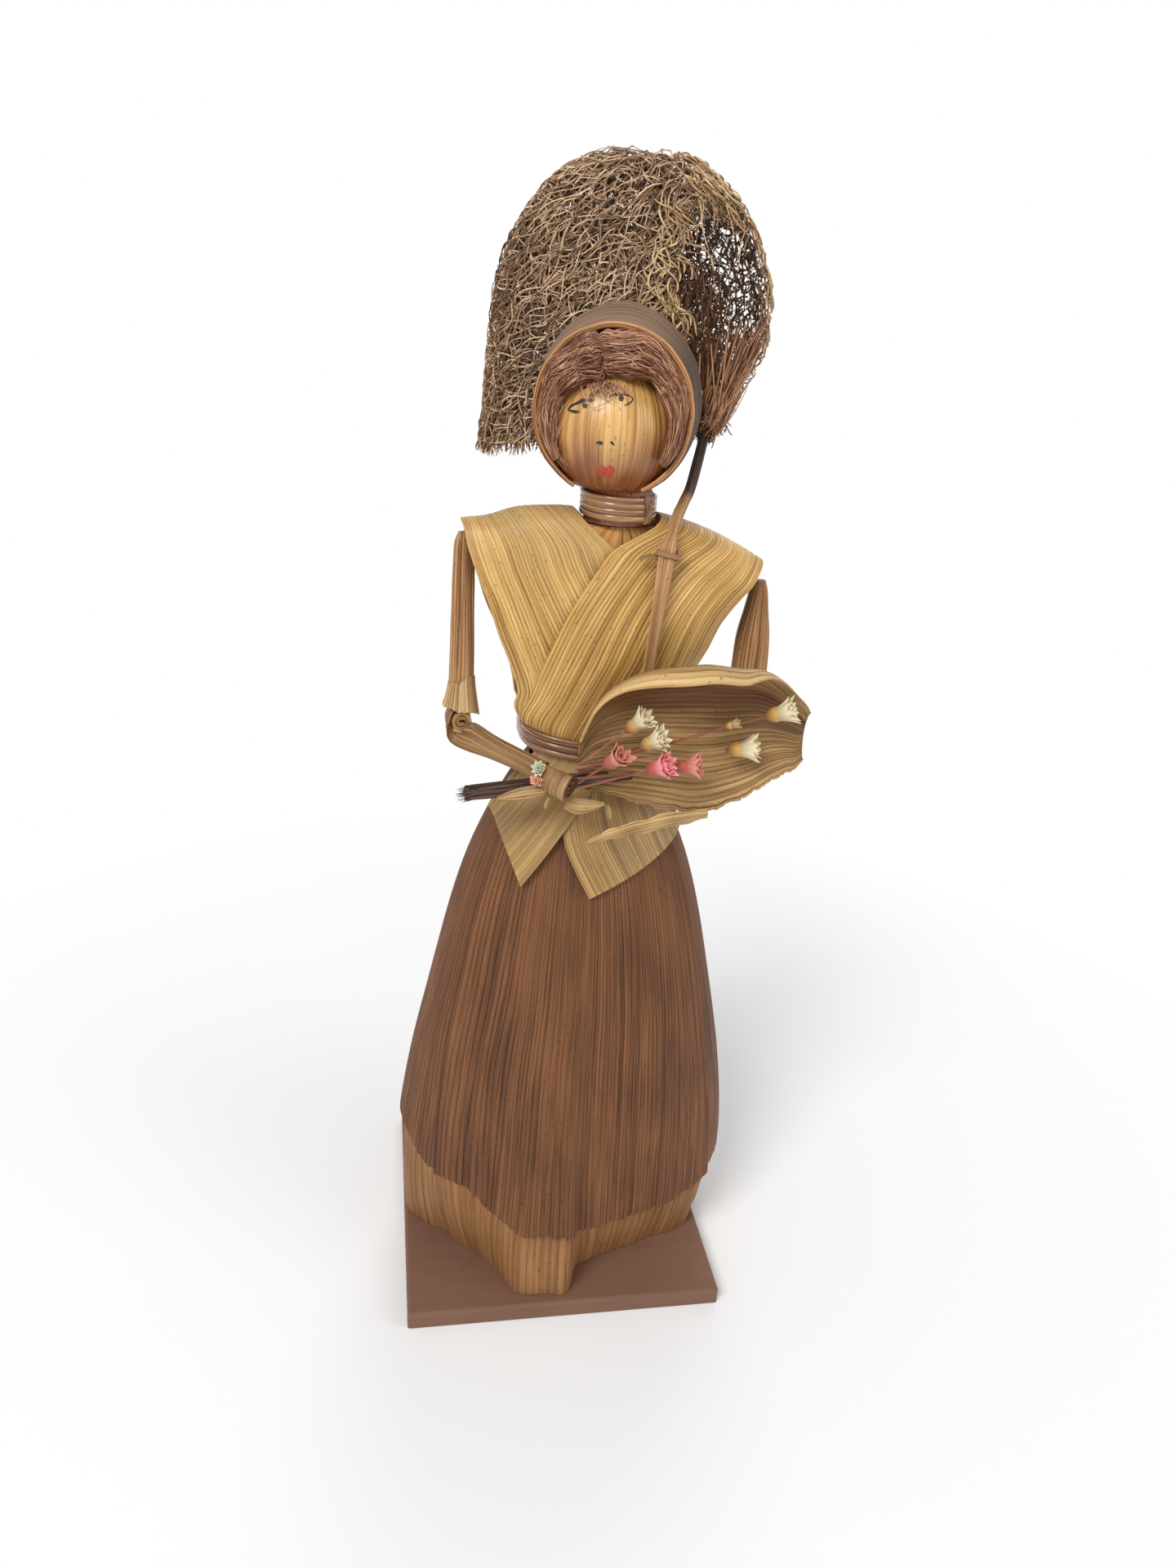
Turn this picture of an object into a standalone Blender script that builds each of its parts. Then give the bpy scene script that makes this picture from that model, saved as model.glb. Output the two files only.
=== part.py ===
"""Corn husk doll with a parasol and a posy, standing on a wooden board.

Metres, Z up. The doll faces -Y and its left hand is on the +X side. The origin is the
middle of the board's underside. Every husk layer is a separate closed solid, and the
layers lie on each other with a small named gap between them.
"""
import math

import bmesh
import bpy
from mathutils import Matrix, Vector

UP = Vector((0, 0, 1))
BACK = Vector((0, 1, 0))
STEEP_SHARE = 0.9

# Board and stand
BOARD_SIDE = 0.089
BOARD_THICKNESS = 0.005
BOARD_ROUNDING = 0.0008
DOWEL_RADIUS = 0.003
DOWEL_SOCKET = 0.003
DOWEL_TOP_SHARE = 0.6
BORE_SIDES = 12

# Husk thickness and the gaps between layers
HUSK = 0.0007
LAYER_GAP = 0.0005
SEAT = 0.0003
OVERRUN = 0.001

# Skirts
SKIRT_HEIGHT = 0.150
SKIRT_HALF_WIDTH = 0.0505
SKIRT_FRONT_DEPTH = 0.033
SKIRT_BACK_DEPTH = 0.036
SKIRT_X = 0.0032
HEM_HEIGHT = 0.0205
AROUND = 40
HEM_CROWDING = 1.15

# Torso
BAND_DROP = 0.006
TORSO_HEIGHT = 0.0557
SHOULDER_HALF = 0.0385
SHOULDER_ROUND = 0.005
RIGHT_SHOULDER_DROP = 0.002
LEFT_SHOULDER_DROP = 0.012
CHEST_DEPTH = 0.0142
WAIST_X = 0.0022
NECK_X = 0.0072
TAB_LENGTH = 0.0345
BUNDLE_HALF_WIDTH = 0.0205
BUNDLE_DEPTH = 0.013
EDGE_SHARE = 0.09
PEG_DEPTH_SHARE = 0.11

# Windings
BAND_TURNS = 3
BAND_CORD = 0.0013
BAND_PITCH = 0.00175
BAND_SIDE_STANDOFF = 0.0034
BAND_FRONT_STANDOFF = 0.0043
BAND_TILT = math.radians(5)
NECK_TURNS = 5
NECK_CORD = 0.0008
NECK_PITCH = 0.00125
LOOP_POINTS = 24
LEAST_TURN_GAP = 0.0004

# Neck and head
NECK_RADIUS = 0.0084
NECK_RISE = 0.0003
HEAD_RADIUS = 0.0164
HEAD_X = 0.0048
HEAD_LIFT = 0.0213
PEG_RADIUS = 0.0016
HEAD_SIDES = 20
CROWN_SHARE = 0.03
BALL_TOP_SHARE = 0.09
BALL_SEAT_SHARE = 0.73
NECK_SINK_SHARE = 0.02
PEG_STOP_SHARE = 0.35
FACET_SHARE = 1.02

# Bonnet and hair
BONNET_RADIUS = 0.0218
BONNET_LENGTH = 0.031
BONNET_HUSK = 0.0009
BONNET_SETBACK = 0.0092
BONNET_LIFT = 0.0046
BONNET_SHIFT = 0.0022
BONNET_TURN = math.radians(15)
BONNET_OPENING = math.radians(40)
BONNET_NARROW_SHARE = 0.955
BONNET_TILT_SHARE = 0.22
HAIR_DEPTH = 0.005
HAIR_FORWARD_SHARE = 0.15

# Arms
WIRE_RADIUS = 0.0006
SHOULDER_WIRE_DROP = 0.0048
RIGHT_WIRE_SHARE = 0.97
WIRE_END_SHARE = 0.85
ARM_LENGTH = 0.046
ARM_HALF = 0.0027
LEFT_ARM_HALF = 0.0048
ARM_DEPTH = 0.0024
ELBOW_RADIUS = 0.0031
ELBOW_LENGTH = 0.008
ELBOW_FRONT_SHARE = 0.3
CUFF_LENGTH = 0.0065
CUFF_FACET_SHARE = 1.6
HAND_ACROSS = 0.0229
HAND_FORWARD = 0.0255
HAND_DROP = 0.0068
FOREARM_TALL = 0.0036
FOREARM_THICK = 0.0017
FOREARM_SIDE_SHARE = 0.8
HAND_RADIUS = 0.0047
HAND_LENGTH = 0.0076
HAND_STEP_SHARE = 0.62
LEFT_HAND_ACROSS = 0.0145
LEFT_HAND_FORWARD = 0.015
LEFT_HAND_RISE = 0.0055
LEFT_HAND_RADIUS = 0.0032
LEFT_HAND_LENGTH = 0.006
HAND_CORNER_SHARE = 0.62
HAND_LEAN_SHARE = 0.35

# Posy
STEM_RADIUS = 0.0021
STEM_TAIL = 0.0242
STEM_TIP = 0.0125
LEAF_LENGTH = 0.057
LEAF_HALF_HEIGHT = 0.021
LEAF_CUP = 0.0075
LEAF_STANDOFF = 0.0039
LEAF_LOWER_SHARE = 0.75
RIM_SHARPNESS = 2.2
FLOWER_RADIUS = 0.0042
STALK_RADIUS = 0.0004
SCRAP_LENGTH = 0.0085
SCRAP_SIDE_SHARE = 0.8
SCRAP_FALL_SHARE = 0.6

# Parasol
STICK_RADIUS = 0.0013
STICK_DROP = 0.034
TIE_CORD = 0.0008
TIE_TURNS = 1.6
TIE_PITCH = 0.0013
TIE_LOW_SHARE = 1.4
TIE_ACROSS_SHARE = 0.27
TIE_HEIGHT_SHARE = 0.935
CANOPY_HALF_WIDTH = 0.036
CANOPY_HALF_DEPTH = 0.0155
CANOPY_RISE = 0.042
CANOPY_FALL = 0.03
CANOPY_NET = 0.0024
CANOPY_CLEARANCE = 0.0026
CANOPY_SHIFT = 0.0083
CANOPY_FLARE_SHARE = 0.06
CANOPY_SLOPE_SHARE = 0.2
CANOPY_CROWN_SHARE = 0.12
MOUTH_START_SHARE = 0.785
MOUTH_END_SHARE = 0.955
GATHER_RADIUS = 0.004
GATHER_TURN = math.radians(15)
GATHER_PULL_SHARE = 0.93
GATHER_EASE = 0.6

# Levels and centres that follow from the sizes above
BOARD_TOP = BOARD_THICKNESS
SKIRT_TOP = BOARD_TOP + SKIRT_HEIGHT
WAIST = SKIRT_TOP + BAND_DROP
SHOULDER = WAIST + TORSO_HEIGHT
HEAD_CENTRE = Vector((HEAD_X, 0, SHOULDER + HEAD_LIFT))
LAYER = HUSK + LAYER_GAP
TOP_STRIP_LIFT = LAYER_GAP + LAYER + SEAT

# Skirt outline: share of the skirt's height, share of the size it follows
skirt_width_shares = [(0, 0.965), (0.06, 0.985), (0.14, 1.0), (0.227, 0.99), (0.367, 0.93), (0.533, 0.832),
                      (0.693, 0.723), (0.807, 0.62), (0.9, 0.5), (0.953, 0.41), (1, 0.307)]
skirt_front_shares = [(0, 0.667), (0.1, 0.82), (0.23, 0.91), (0.43, 0.97), (0.63, 0.88), (0.8, 0.727),
                      (0.9, 0.576), (0.953, 0.47), (1, 0.364)]
skirt_back_shares = [(0, 1), (0.23, 0.98), (0.43, 0.9), (0.63, 0.8), (0.8, 0.66), (0.9, 0.53), (1, 0.333)]
prow_shares = [(0, 1), (0.1, 0.62), (0.23, 0.3), (0.43, 0.06), (0.6, 0), (1, 0)]

# Skirt foot and hem: share of a full turn, how far the foot stands out there or the hem's height share
prow_outline_shares = [(-0.3, 0), (-0.25, 0.04), (-0.211, 0.05), (-0.19, 0.07), (-0.169, 0.15), (-0.142, 0.27),
                       (-0.111, 0.457), (-0.08, 0.75), (-0.064, 0.95), (-0.036, 0.98), (-0.01, 0.98),
                       (0.003, 0.6), (0.014, 0.525), (0.028, 0.47), (0.058, 0.39), (0.089, 0.31),
                       (0.117, 0.26), (0.142, 0.23), (0.16, 0.22), (0.175, 0.19), (0.19, 0.13), (0.21, 0.06),
                       (0.25, 0), (0.3, 0)]
hem_shares = [(-0.5, 1.0), (-0.35, 1.3), (-0.25, 1.75), (-0.217, 1.62), (-0.19, 1.38), (-0.133, 1.37),
              (-0.1, 1.14), (-0.06, 1.08), (-0.017, 1.06), (0.01, 0.87), (0.05, 0.88), (0.13, 0.88),
              (0.167, 1.02), (0.2, 1.1), (0.25, 1.0), (0.35, 0.95), (0.5, 1.0)]

# Torso and shawl outline: share of the height from waist to shoulder, share of the size it follows
chest_depth_shares = [(0, 0.86), (0.15, 0.93), (0.4, 1.0), (0.65, 0.873), (0.85, 0.67), (1, 0.53)]
chest_width_shares = [(0, 0.416), (0.12, 0.5), (0.35, 0.675), (0.56, 0.87), (0.8, 1.05), (1, 1.12)]
bundle_shares = [(-0.095, 0.63, 0.83), (0, 0.66, 0.85), (0.16, 0.73, 0.92), (0.4, 0.83, 1.0),
                 (0.65, 0.95, 0.86), (0.8, 1.0, 0.66), (0.9, 0.88, 0.55), (0.96, 0.6, 0.5),
                 (0.985, 0.42, 0.46)]

# Shawl strips: height share, left edge and right edge as shares of the shoulder's half width
right_strip_shares = [(0, -0.16, 0.385), (0.13, -0.45, 0.42), (0.3, -0.53, 0.53), (0.45, -0.62, 0.47),
                      (0.6, -0.72, 0.33), (0.8, -0.84, 0.12), (0.92, -0.91, 0.0), (1, -0.955, -0.07)]
left_strip_shares = [(0, -0.38, 0.18), (0.14, -0.445, 0.37), (0.3, -0.45, 0.53), (0.46, -0.41, 0.65),
                     (0.6, -0.35, 0.69), (0.74, -0.27, 0.74), (0.9, -0.15, 0.83), (1, -0.06, 0.89)]
right_ridge_shares = [(0.25, -0.98, -0.23), (0.5, -1.0, -0.3), (0.75, -0.98, -0.23)]
left_ridge_shares = [(0.25, 0.2, 0.96), (0.5, 0.27, 0.99), (0.75, 0.2, 0.96)]

# Shawl ends below the waist: left edge across and down, right edge across and down, in tab lengths
left_tab_shares = [(-0.41, 0.08, 0.16, 0.08), (-0.474, 0.166, 0.026, 0.264), (-0.538, 0.252, -0.108, 0.448),
                   (-0.602, 0.338, -0.242, 0.632), (-0.666, 0.424, -0.376, 0.816), (-0.73, 0.51, -0.51, 1.0)]
right_tab_shares = [(-0.14, 0.08, 0.41, 0.08), (-0.2, 0.3, 0.5, 0.2), (-0.22, 0.5, 0.58, 0.33),
                    (-0.19, 0.7, 0.66, 0.46), (-0.11, 0.88, 0.73, 0.58), (-0.01, 1.06, 0.79, 0.71)]

# Bonnet outline: share of its length behind the rim, share of its radius
bonnet_shares = [(0, 0.89), (0.22, 0.95), (0.42, 0.99), (0.6, 1.0), (0.74, 0.93), (0.86, 0.74), (0.94, 0.5),
                 (1, 0.12)]

# Hair: angle share from the parting, radius share, thickness share of the bonnet's radius
hair_shares = [(0, 0.6, 0.18), (0.12, 0.595, 0.225), (0.3, 0.625, 0.2), (0.5, 0.68, 0.145),
               (0.7, 0.715, 0.105), (0.88, 0.74, 0.08), (1, 0.76, 0.05)]

# Arms: place along the arm, half widths as shares
arm_right_shares = [(0, 0.55, 0.5), (0.05, 0.9, 0.95), (0.12, 1.0, 1.0), (0.45, 1.05, 0.95),
                    (0.8, 1.15, 0.95), (1, 1.3, 1.0)]
arm_left_shares = [(0, 0.3, 0.5), (0.05, 0.45, 0.9), (0.15, 0.62, 1.0), (0.35, 0.95, 1.0), (0.7, 1.0, 0.95),
                   (1, 0.8, 0.9)]
forearm_shares = [(0, 0.85, 0.9), (0.12, 1.0, 1.0), (0.5, 1.05, 1.0), (0.85, 0.95, 1.0), (1, 0.8, 0.85)]

# Cuff: share of its length above the elbow, flare in seat gaps
cuff_shares = [(0, 1.2), (0.35, 0.8), (0.7, 0.3), (1, 0)]

# Leaf: share of its length, middle and half height as shares of the leaf's half height
leaf_shares = [(0, 0.2, 0.3), (0.05, 0.42, 0.54), (0.13, 0.54, 0.72), (0.25, 0.6, 0.825), (0.41, 0.605, 0.9),
               (0.5, 0.6, 0.94), (0.61, 0.6, 0.9), (0.75, 0.64, 0.8), (0.84, 0.635, 0.64), (0.92, 0.58, 0.48),
               (0.97, 0.535, 0.4), (1, 0.52, 0.3)]
leaf_back_shares = [(0, 0), (0.2, 0.1), (0.45, 0.25), (1, 0.1)]

# Flowers: places as shares of the leaf's length, half height and cup; size share; start round the stems
flower_shares = [
    ("flower_cream_1", 0.242, 0.780, 0.75, 0.9, -0.078, "petal_cream"),
    ("flower_cream_2", 0.292, 0.648, 1.52, 0.85, 0.106, "petal_cream"),
    ("flower_cream_3", 0.715, 0.461, 0.93, 0.95, -0.017, "petal_cream"),
    ("flower_cream_4", 0.855, 0.944, 1.12, 0.95, -0.139, "petal_cream"),
    ("flower_bud", 0.620, 0.839, 1.47, 0.55, 0.044, "petal_cream"),
    ("flower_red", 0.123, 0.472, 1.80, 0.86, 0.228, "petal_red"),
    ("flower_pink", 0.302, 0.431, 2.24, 0.85, 0.289, "petal_pink"),
    ("flower_rose", 0.464, 0.307, 1.33, 0.84, 0.167, "petal_red"),
]
flower_profile_shares = [(-1.5, 0.14), (-1.3, 0.5), (-0.8, 0.72), (-0.2, 0.86), (0.35, 1.0), (0.5, 0.72),
                         (0.1, 0.2)]

# Torn strip: places as shares of the leaf's length, cup and half height, and half width
strip_shares = [(0.56, 1.13, -0.35, 0.06), (0.46, 1.19, -0.38, 0.085), (0.36, 1.25, -0.42, 0.1),
                (0.22, 1.3, -0.5, 0.09), (0.1, 1.33, -0.59, 0.065), (0.03, 1.36, -0.66, 0.035)]

# Stems and the bits beside them: place and half width; place, turn and size; the bits' profile
stem_shares = [(0, 0.8), (0.1, 0.95), (0.5, 1.0), (0.93, 0.95), (1, 0.85)]
bit_shares = [("posy_green", 1.05, 0.06, 0.5, "petal_green"), ("posy_red", 1.1, 0.26, 0.45, "petal_red")]
bit_profile_shares = [(-0.98, 0.35), (-0.6, 0.8), (0, 1.0), (0.55, 0.85), (0.9, 0.4)]
scrap_shares = [(0, 0.2), (0.3, 0.3), (0.7, 0.22), (1, 0.06)]

# Parasol: bends of the stick past its tie in shoulder half widths; profile of the gather
stick_bend_shares = [(0.06, 0.122, 0.142), (0.125, 0.25, 0.22), (0.208, 0.42, 0.30), (0.291, 0.613, 0.44),
                     (0.369, 0.785, 0.613)]
gather_shares = [(0, 0.5), (0.5, 0.85), (1.3, 1.0), (2.3, 1.0), (3.2, 0.6)]


# Materials

def material(name, colour, roughness=0.6, metallic=0.0):
    """A plain Principled material of one colour."""
    made = bpy.data.materials.new(name)
    made.use_nodes = True
    shader = made.node_tree.nodes["Principled BSDF"]
    shader.inputs["Base Color"].default_value = (*colour, 1)
    shader.inputs["Roughness"].default_value = roughness
    shader.inputs["Metallic"].default_value = metallic
    return made


def make_materials():
    """All the doll's materials by name."""
    return {
        "stained_wood": material("stained_wood", (0.105, 0.034, 0.02), 0.5),
        "plain_wood": material("plain_wood", (0.5, 0.33, 0.17), 0.6),
        "husk_fill": material("husk_fill", (0.46, 0.3, 0.12), 0.7),
        "husk_tan": material("husk_tan", (0.36, 0.175, 0.06), 0.55),
        "husk_brown": material("husk_brown", (0.17, 0.058, 0.026), 0.55),
        "husk_gold": material("husk_gold", (0.42, 0.235, 0.075), 0.5),
        "husk_face": material("husk_face", (0.52, 0.27, 0.075), 0.35),
        "husk_amber": material("husk_amber", (0.3, 0.115, 0.035), 0.35),
        "husk_grey": material("husk_grey", (0.125, 0.06, 0.03), 0.6),
        "hair_fibre": material("hair_fibre", (0.1, 0.028, 0.016), 0.45),
        "wire": material("wire", (0.45, 0.44, 0.42), 0.35, 1.0),
        "stem": material("stem", (0.05, 0.016, 0.012), 0.6),
        "net": material("net", (0.2, 0.11, 0.045), 0.7),
        "petal_cream": material("petal_cream", (0.62, 0.53, 0.3), 0.6),
        "petal_red": material("petal_red", (0.5, 0.08, 0.07), 0.6),
        "petal_pink": material("petal_pink", (0.7, 0.1, 0.2), 0.6),
        "petal_green": material("petal_green", (0.2, 0.36, 0.26), 0.6),
        "pulp": material("pulp", (0.8, 0.78, 0.72), 0.8),
    }


# Curves and places

def smooth(pairs, place):
    """Value of a smooth curve through (place, value) pairs, held flat past its ends."""
    places = [pair[0] for pair in pairs]
    values = [pair[1] for pair in pairs]
    place = min(max(place, places[0]), places[-1])
    left = max(k for k in range(len(places) - 1) if places[k] <= place)
    step = places[left + 1] - places[left]

    def slope(k):
        before = max(k - 1, 0)
        after = min(k + 1, len(places) - 1)
        return (values[after] - values[before]) / (places[after] - places[before])

    t = (place - places[left]) / step
    start = (1 + 2 * t) * (1 - t) ** 2 * values[left] + t * (1 - t) ** 2 * step * slope(left)
    end = t * t * (3 - 2 * t) * values[left + 1] - t * t * (1 - t) * step * slope(left + 1)
    return start + end


def column(rows, k):
    """Pairs of the first and the k-th entries of a table's rows."""
    return [(row[0], row[k]) for row in rows]


def mix(a, b, t):
    """The point or number a share t of the way from a to b."""
    return a + (b - a) * t


def skirt_half_width(share):
    return SKIRT_HALF_WIDTH * smooth(skirt_width_shares, share)


def skirt_front(share):
    """How far forward the skirt reaches on its middle line, without the foot that stands out."""
    return SKIRT_FRONT_DEPTH * smooth(skirt_front_shares, share)


def skirt_centre(share):
    return mix(SKIRT_X, WAIST_X, max(share, 0) ** 4)


def skirt_point(angle, height, inset):
    """A point of the skirt's surface; the angle is 0 in front and grows towards the doll's left."""
    share = height / SKIRT_HEIGHT
    half_width = skirt_half_width(share)
    if math.cos(angle) > 0:
        depth = skirt_front(share)
    else:
        depth = SKIRT_BACK_DEPTH * smooth(skirt_back_shares, share)
    radius = 1 / math.hypot(math.sin(angle) / half_width, math.cos(angle) / depth)
    turn = math.remainder(angle, math.tau)
    radius *= 1 + smooth(prow_shares, share) * smooth(prow_outline_shares, turn / math.tau)
    radius -= inset
    x = skirt_centre(share) + radius * math.sin(angle)
    return Vector((x, -radius * math.cos(angle), BOARD_TOP + height))


def chest_centre(share):
    return mix(WAIST_X, NECK_X, share)


def shoulder_level(x):
    """Height of the shoulder line under the shawl."""
    spread = (x - NECK_X) / SHOULDER_HALF
    drop = LEFT_SHOULDER_DROP if spread > 0 else RIGHT_SHOULDER_DROP
    return SHOULDER - drop * spread ** 2


def drape_depth(x, z):
    """How far the layer under the shawl stands out from the middle plane at x and z."""
    if z >= WAIST:
        share = (z - WAIST) / TORSO_HEIGHT
        centre = chest_centre(share)
        half_width = SHOULDER_HALF * smooth(chest_width_shares, share)
        depth = CHEST_DEPTH * smooth(chest_depth_shares, share)
    else:
        share = (min(z, SKIRT_TOP) - BOARD_TOP) / SKIRT_HEIGHT
        centre = skirt_centre(share)
        half_width = skirt_half_width(share) + LAYER_GAP
        depth = skirt_front(share) + LAYER_GAP
    spread = (x - centre) / half_width
    return depth * math.sqrt(max(1 - spread ** 2, EDGE_SHARE))


# Solids

def finish(name, mesh, look):
    """Link a mesh as an object of its own, smooth, with its material."""
    obj = bpy.data.objects.new(name, mesh)
    bpy.context.scene.collection.objects.link(obj)
    mesh.materials.append(look)
    mesh.shade_smooth()
    mesh.set_sharp_from_angle(angle=math.radians(40))
    return obj


def mesh_from(name, points, faces):
    """A mesh with its faces turned outwards."""
    shape = bmesh.new()
    corners = [shape.verts.new(point) for point in points]
    for face in faces:
        shape.faces.new([corners[k] for k in face])
    bmesh.ops.recalc_face_normals(shape, faces=shape.faces[:])
    mesh = bpy.data.meshes.new(name)
    shape.to_mesh(mesh)
    shape.free()
    return mesh


def layer(name, outer, inner, look, ring=False):
    """A closed solid between two grids of points that match row by row."""
    rows = len(outer)
    across = len(outer[0])
    points = [point for row in outer for point in row] + [point for row in inner for point in row]
    back = rows * across
    steps = across if ring else across - 1
    faces = []
    for r in range(rows - 1):
        for c in range(steps):
            d = (c + 1) % across
            quad = [r * across + c, r * across + d, (r + 1) * across + d, (r + 1) * across + c]
            faces.append(quad)
            faces.append([back + k for k in reversed(quad)])
    for r in (0, rows - 1):
        for c in range(steps):
            d = (c + 1) % across
            faces.append([r * across + c, r * across + d, back + r * across + d, back + r * across + c])
    if not ring:
        for c in (0, across - 1):
            for r in range(rows - 1):
                low, high = r * across + c, (r + 1) * across + c
                faces.append([low, high, back + high, back + low])
    return finish(name, mesh_from(name, points, faces), look)


def loft(name, rings, look):
    """A closed solid through rings of points, capped at both ends."""
    sides = len(rings[0])
    points = [point for ring in rings for point in ring]
    faces = []
    for r in range(len(rings) - 1):
        for c in range(sides):
            d = (c + 1) % sides
            faces.append([r * sides + c, r * sides + d, (r + 1) * sides + d, (r + 1) * sides + c])
    faces.append(list(range(sides)))
    faces.append([(len(rings) - 1) * sides + c for c in range(sides)])
    return finish(name, mesh_from(name, points, faces), look)


def oval(centre, along, up, tall, wide, sides):
    """A ring of points round a centre, square to the direction along."""
    side = along.cross(up).normalized()
    rise = side.cross(along).normalized()
    turns = [math.tau * k / sides for k in range(sides)]
    return [centre + rise * tall * math.cos(turn) + side * wide * math.sin(turn) for turn in turns]


def limb(name, stations, up, sides, look):
    """A loft along a path; each station is a centre and two half sizes."""
    rings = []
    for k, (centre, tall, wide) in enumerate(stations):
        before = stations[max(k - 1, 0)][0]
        after = stations[min(k + 1, len(stations) - 1)][0]
        rings.append(oval(centre, (after - before).normalized(), up, tall, wide, sides))
    return loft(name, rings, look)


def rod(name, start, end, radius, look, sides=BORE_SIDES):
    """A straight round rod."""
    along = (end - start).normalized()
    up = UP if abs(along.z) < STEEP_SHARE else BACK
    rings = [oval(centre, along, up, radius, radius, sides) for centre in (start, end)]
    return loft(name, rings, look)


def cut(obj, cutter):
    """Take the cutter's space out of an object, and leave the cutter out of the model."""
    cutter.hide_render = True
    cutter.display_type = "WIRE"
    boolean = obj.modifiers.new("cut", "BOOLEAN")
    boolean.operation = "DIFFERENCE"
    boolean.object = cutter


def sheet(name, grid, thickness, look, ring=False, gap=(), lid=False):
    """A grid of points as one husk layer; cells listed in gap stay open, and a lid closes the first row."""
    rows = len(grid)
    across = len(grid[0])
    steps = across if ring else across - 1
    shape = bmesh.new()
    corners = [[shape.verts.new(point) for point in row] for row in grid]
    for r in range(rows - 1):
        for c in range(steps):
            if (r, c) in gap:
                continue
            d = (c + 1) % across
            shape.faces.new([corners[r][c], corners[r][d], corners[r + 1][d], corners[r + 1][c]])
    if lid:
        shape.faces.new(reversed(corners[0]))
    loose = [vert for vert in shape.verts if not vert.link_faces]
    bmesh.ops.delete(shape, geom=loose, context="VERTS")
    mesh = bpy.data.meshes.new(name)
    shape.to_mesh(mesh)
    shape.free()
    obj = finish(name, mesh, look)
    solidify = obj.modifiers.new("thickness", "SOLIDIFY")
    solidify.thickness = thickness
    solidify.offset = 0
    return obj


def winding(name, path, thickness, look):
    """One unbroken round tube along a path of points, with filled ends."""
    curve = bpy.data.curves.new(name, "CURVE")
    curve.dimensions = "3D"
    curve.bevel_depth = thickness / 2
    curve.bevel_resolution = 1
    curve.use_fill_caps = True
    spline = curve.splines.new("POLY")
    spline.points.add(len(path) - 1)
    for point, place in zip(spline.points, path):
        point.co = (*place, 1)
    curve.materials.append(look)
    obj = bpy.data.objects.new(name, curve)
    bpy.context.scene.collection.objects.link(obj)
    return obj


def check_turns(name, path, thickness):
    """Measure and print the least clear distance between the turns of a winding, on its points."""
    half_turn = LOOP_POINTS // 2
    last = len(path)
    spans = [(path[a] - path[b]).length for a in range(last) for b in range(a + half_turn, last)]
    least = min(spans) - thickness
    print(name + ": least gap to itself", round(least, 6))
    assert least > LEAST_TURN_GAP


# Stand

def make_stand(looks):
    """The board with its socket, and the dowel that holds the doll up."""
    shape = bmesh.new()
    bmesh.ops.create_cube(shape, size=1)
    for vert in shape.verts:
        across, deep, high = vert.co
        vert.co = Vector((across * BOARD_SIDE, deep * BOARD_SIDE, (high + 0.5) * BOARD_THICKNESS))
    edges = [edge for edge in shape.edges if sum(vert.co.z for vert in edge.verts) > 0]
    bmesh.ops.bevel(shape, geom=edges, offset=BOARD_ROUNDING, segments=2, profile=0.5, affect="EDGES")
    mesh = bpy.data.meshes.new("base_board")
    shape.to_mesh(mesh)
    shape.free()
    board = finish("base_board", mesh, looks["stained_wood"])
    foot = Vector((SKIRT_X, 0, BOARD_TOP - DOWEL_SOCKET))
    mouth = Vector((SKIRT_X, 0, BOARD_TOP + OVERRUN))
    cut(board, rod("socket_cutter", foot, mouth, DOWEL_RADIUS + SEAT, looks["plain_wood"]))
    top = Vector((SKIRT_X, 0, mix(WAIST, SHOULDER, DOWEL_TOP_SHARE)))
    rod("support_dowel", foot + Vector((0, 0, SEAT)), top, DOWEL_RADIUS, looks["plain_wood"])


# Skirts

def skirt_layer(name, first, last, inset, foot, look):
    """One skirt panel between two angle steps, from its hem up to the waist."""
    rows = 9
    turns = [math.tau * k / AROUND for k in range(first, last + 1)]

    def grid(depth):
        return [[skirt_point(turn, mix(foot(turn), SKIRT_HEIGHT, (r / rows) ** HEM_CROWDING), depth)
                 for turn in turns] for r in range(rows + 1)]

    return layer(name, grid(inset), grid(inset + HUSK), look)


def overskirt_hem(turn):
    """Height of the overskirt's wavy hem above the board."""
    return HEM_HEIGHT * smooth(hem_shares, math.remainder(turn, math.tau) / math.tau)


def underskirt_hem(turn):
    return SEAT


def make_skirts(looks):
    """Four overskirt husks, four underskirt husks and the packed husk core inside them."""
    half_turn = AROUND // 2
    front = 7
    side_start = 5
    side_end = 15
    panels = [
        ("front", -front, front, 0),
        ("back", half_turn - front, half_turn + front, 0),
        ("left", side_start, side_end, 1),
        ("right", -side_end, -side_start, 1),
    ]
    for word, first, last, level in panels:
        over = level * LAYER
        skirt_layer("overskirt_" + word, first, last, over, overskirt_hem, looks["husk_brown"])
        skirt_layer("underskirt_" + word, first, last, over + 2 * LAYER, underskirt_hem, looks["husk_tan"])
    turns = [math.tau * k / AROUND for k in range(AROUND)]
    heights = [mix(SEAT, SKIRT_HEIGHT, k / 6) for k in range(7)]
    outer = [[skirt_point(turn, height, 4 * LAYER) for turn in turns] for height in heights]
    bore = DOWEL_RADIUS + SEAT
    inner = [[Vector((SKIRT_X + bore * math.sin(turn), -bore * math.cos(turn), BOARD_TOP + height))
              for turn in turns] for height in heights]
    layer("skirt_core", outer, inner, looks["husk_fill"], ring=True)


# Torso

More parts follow.
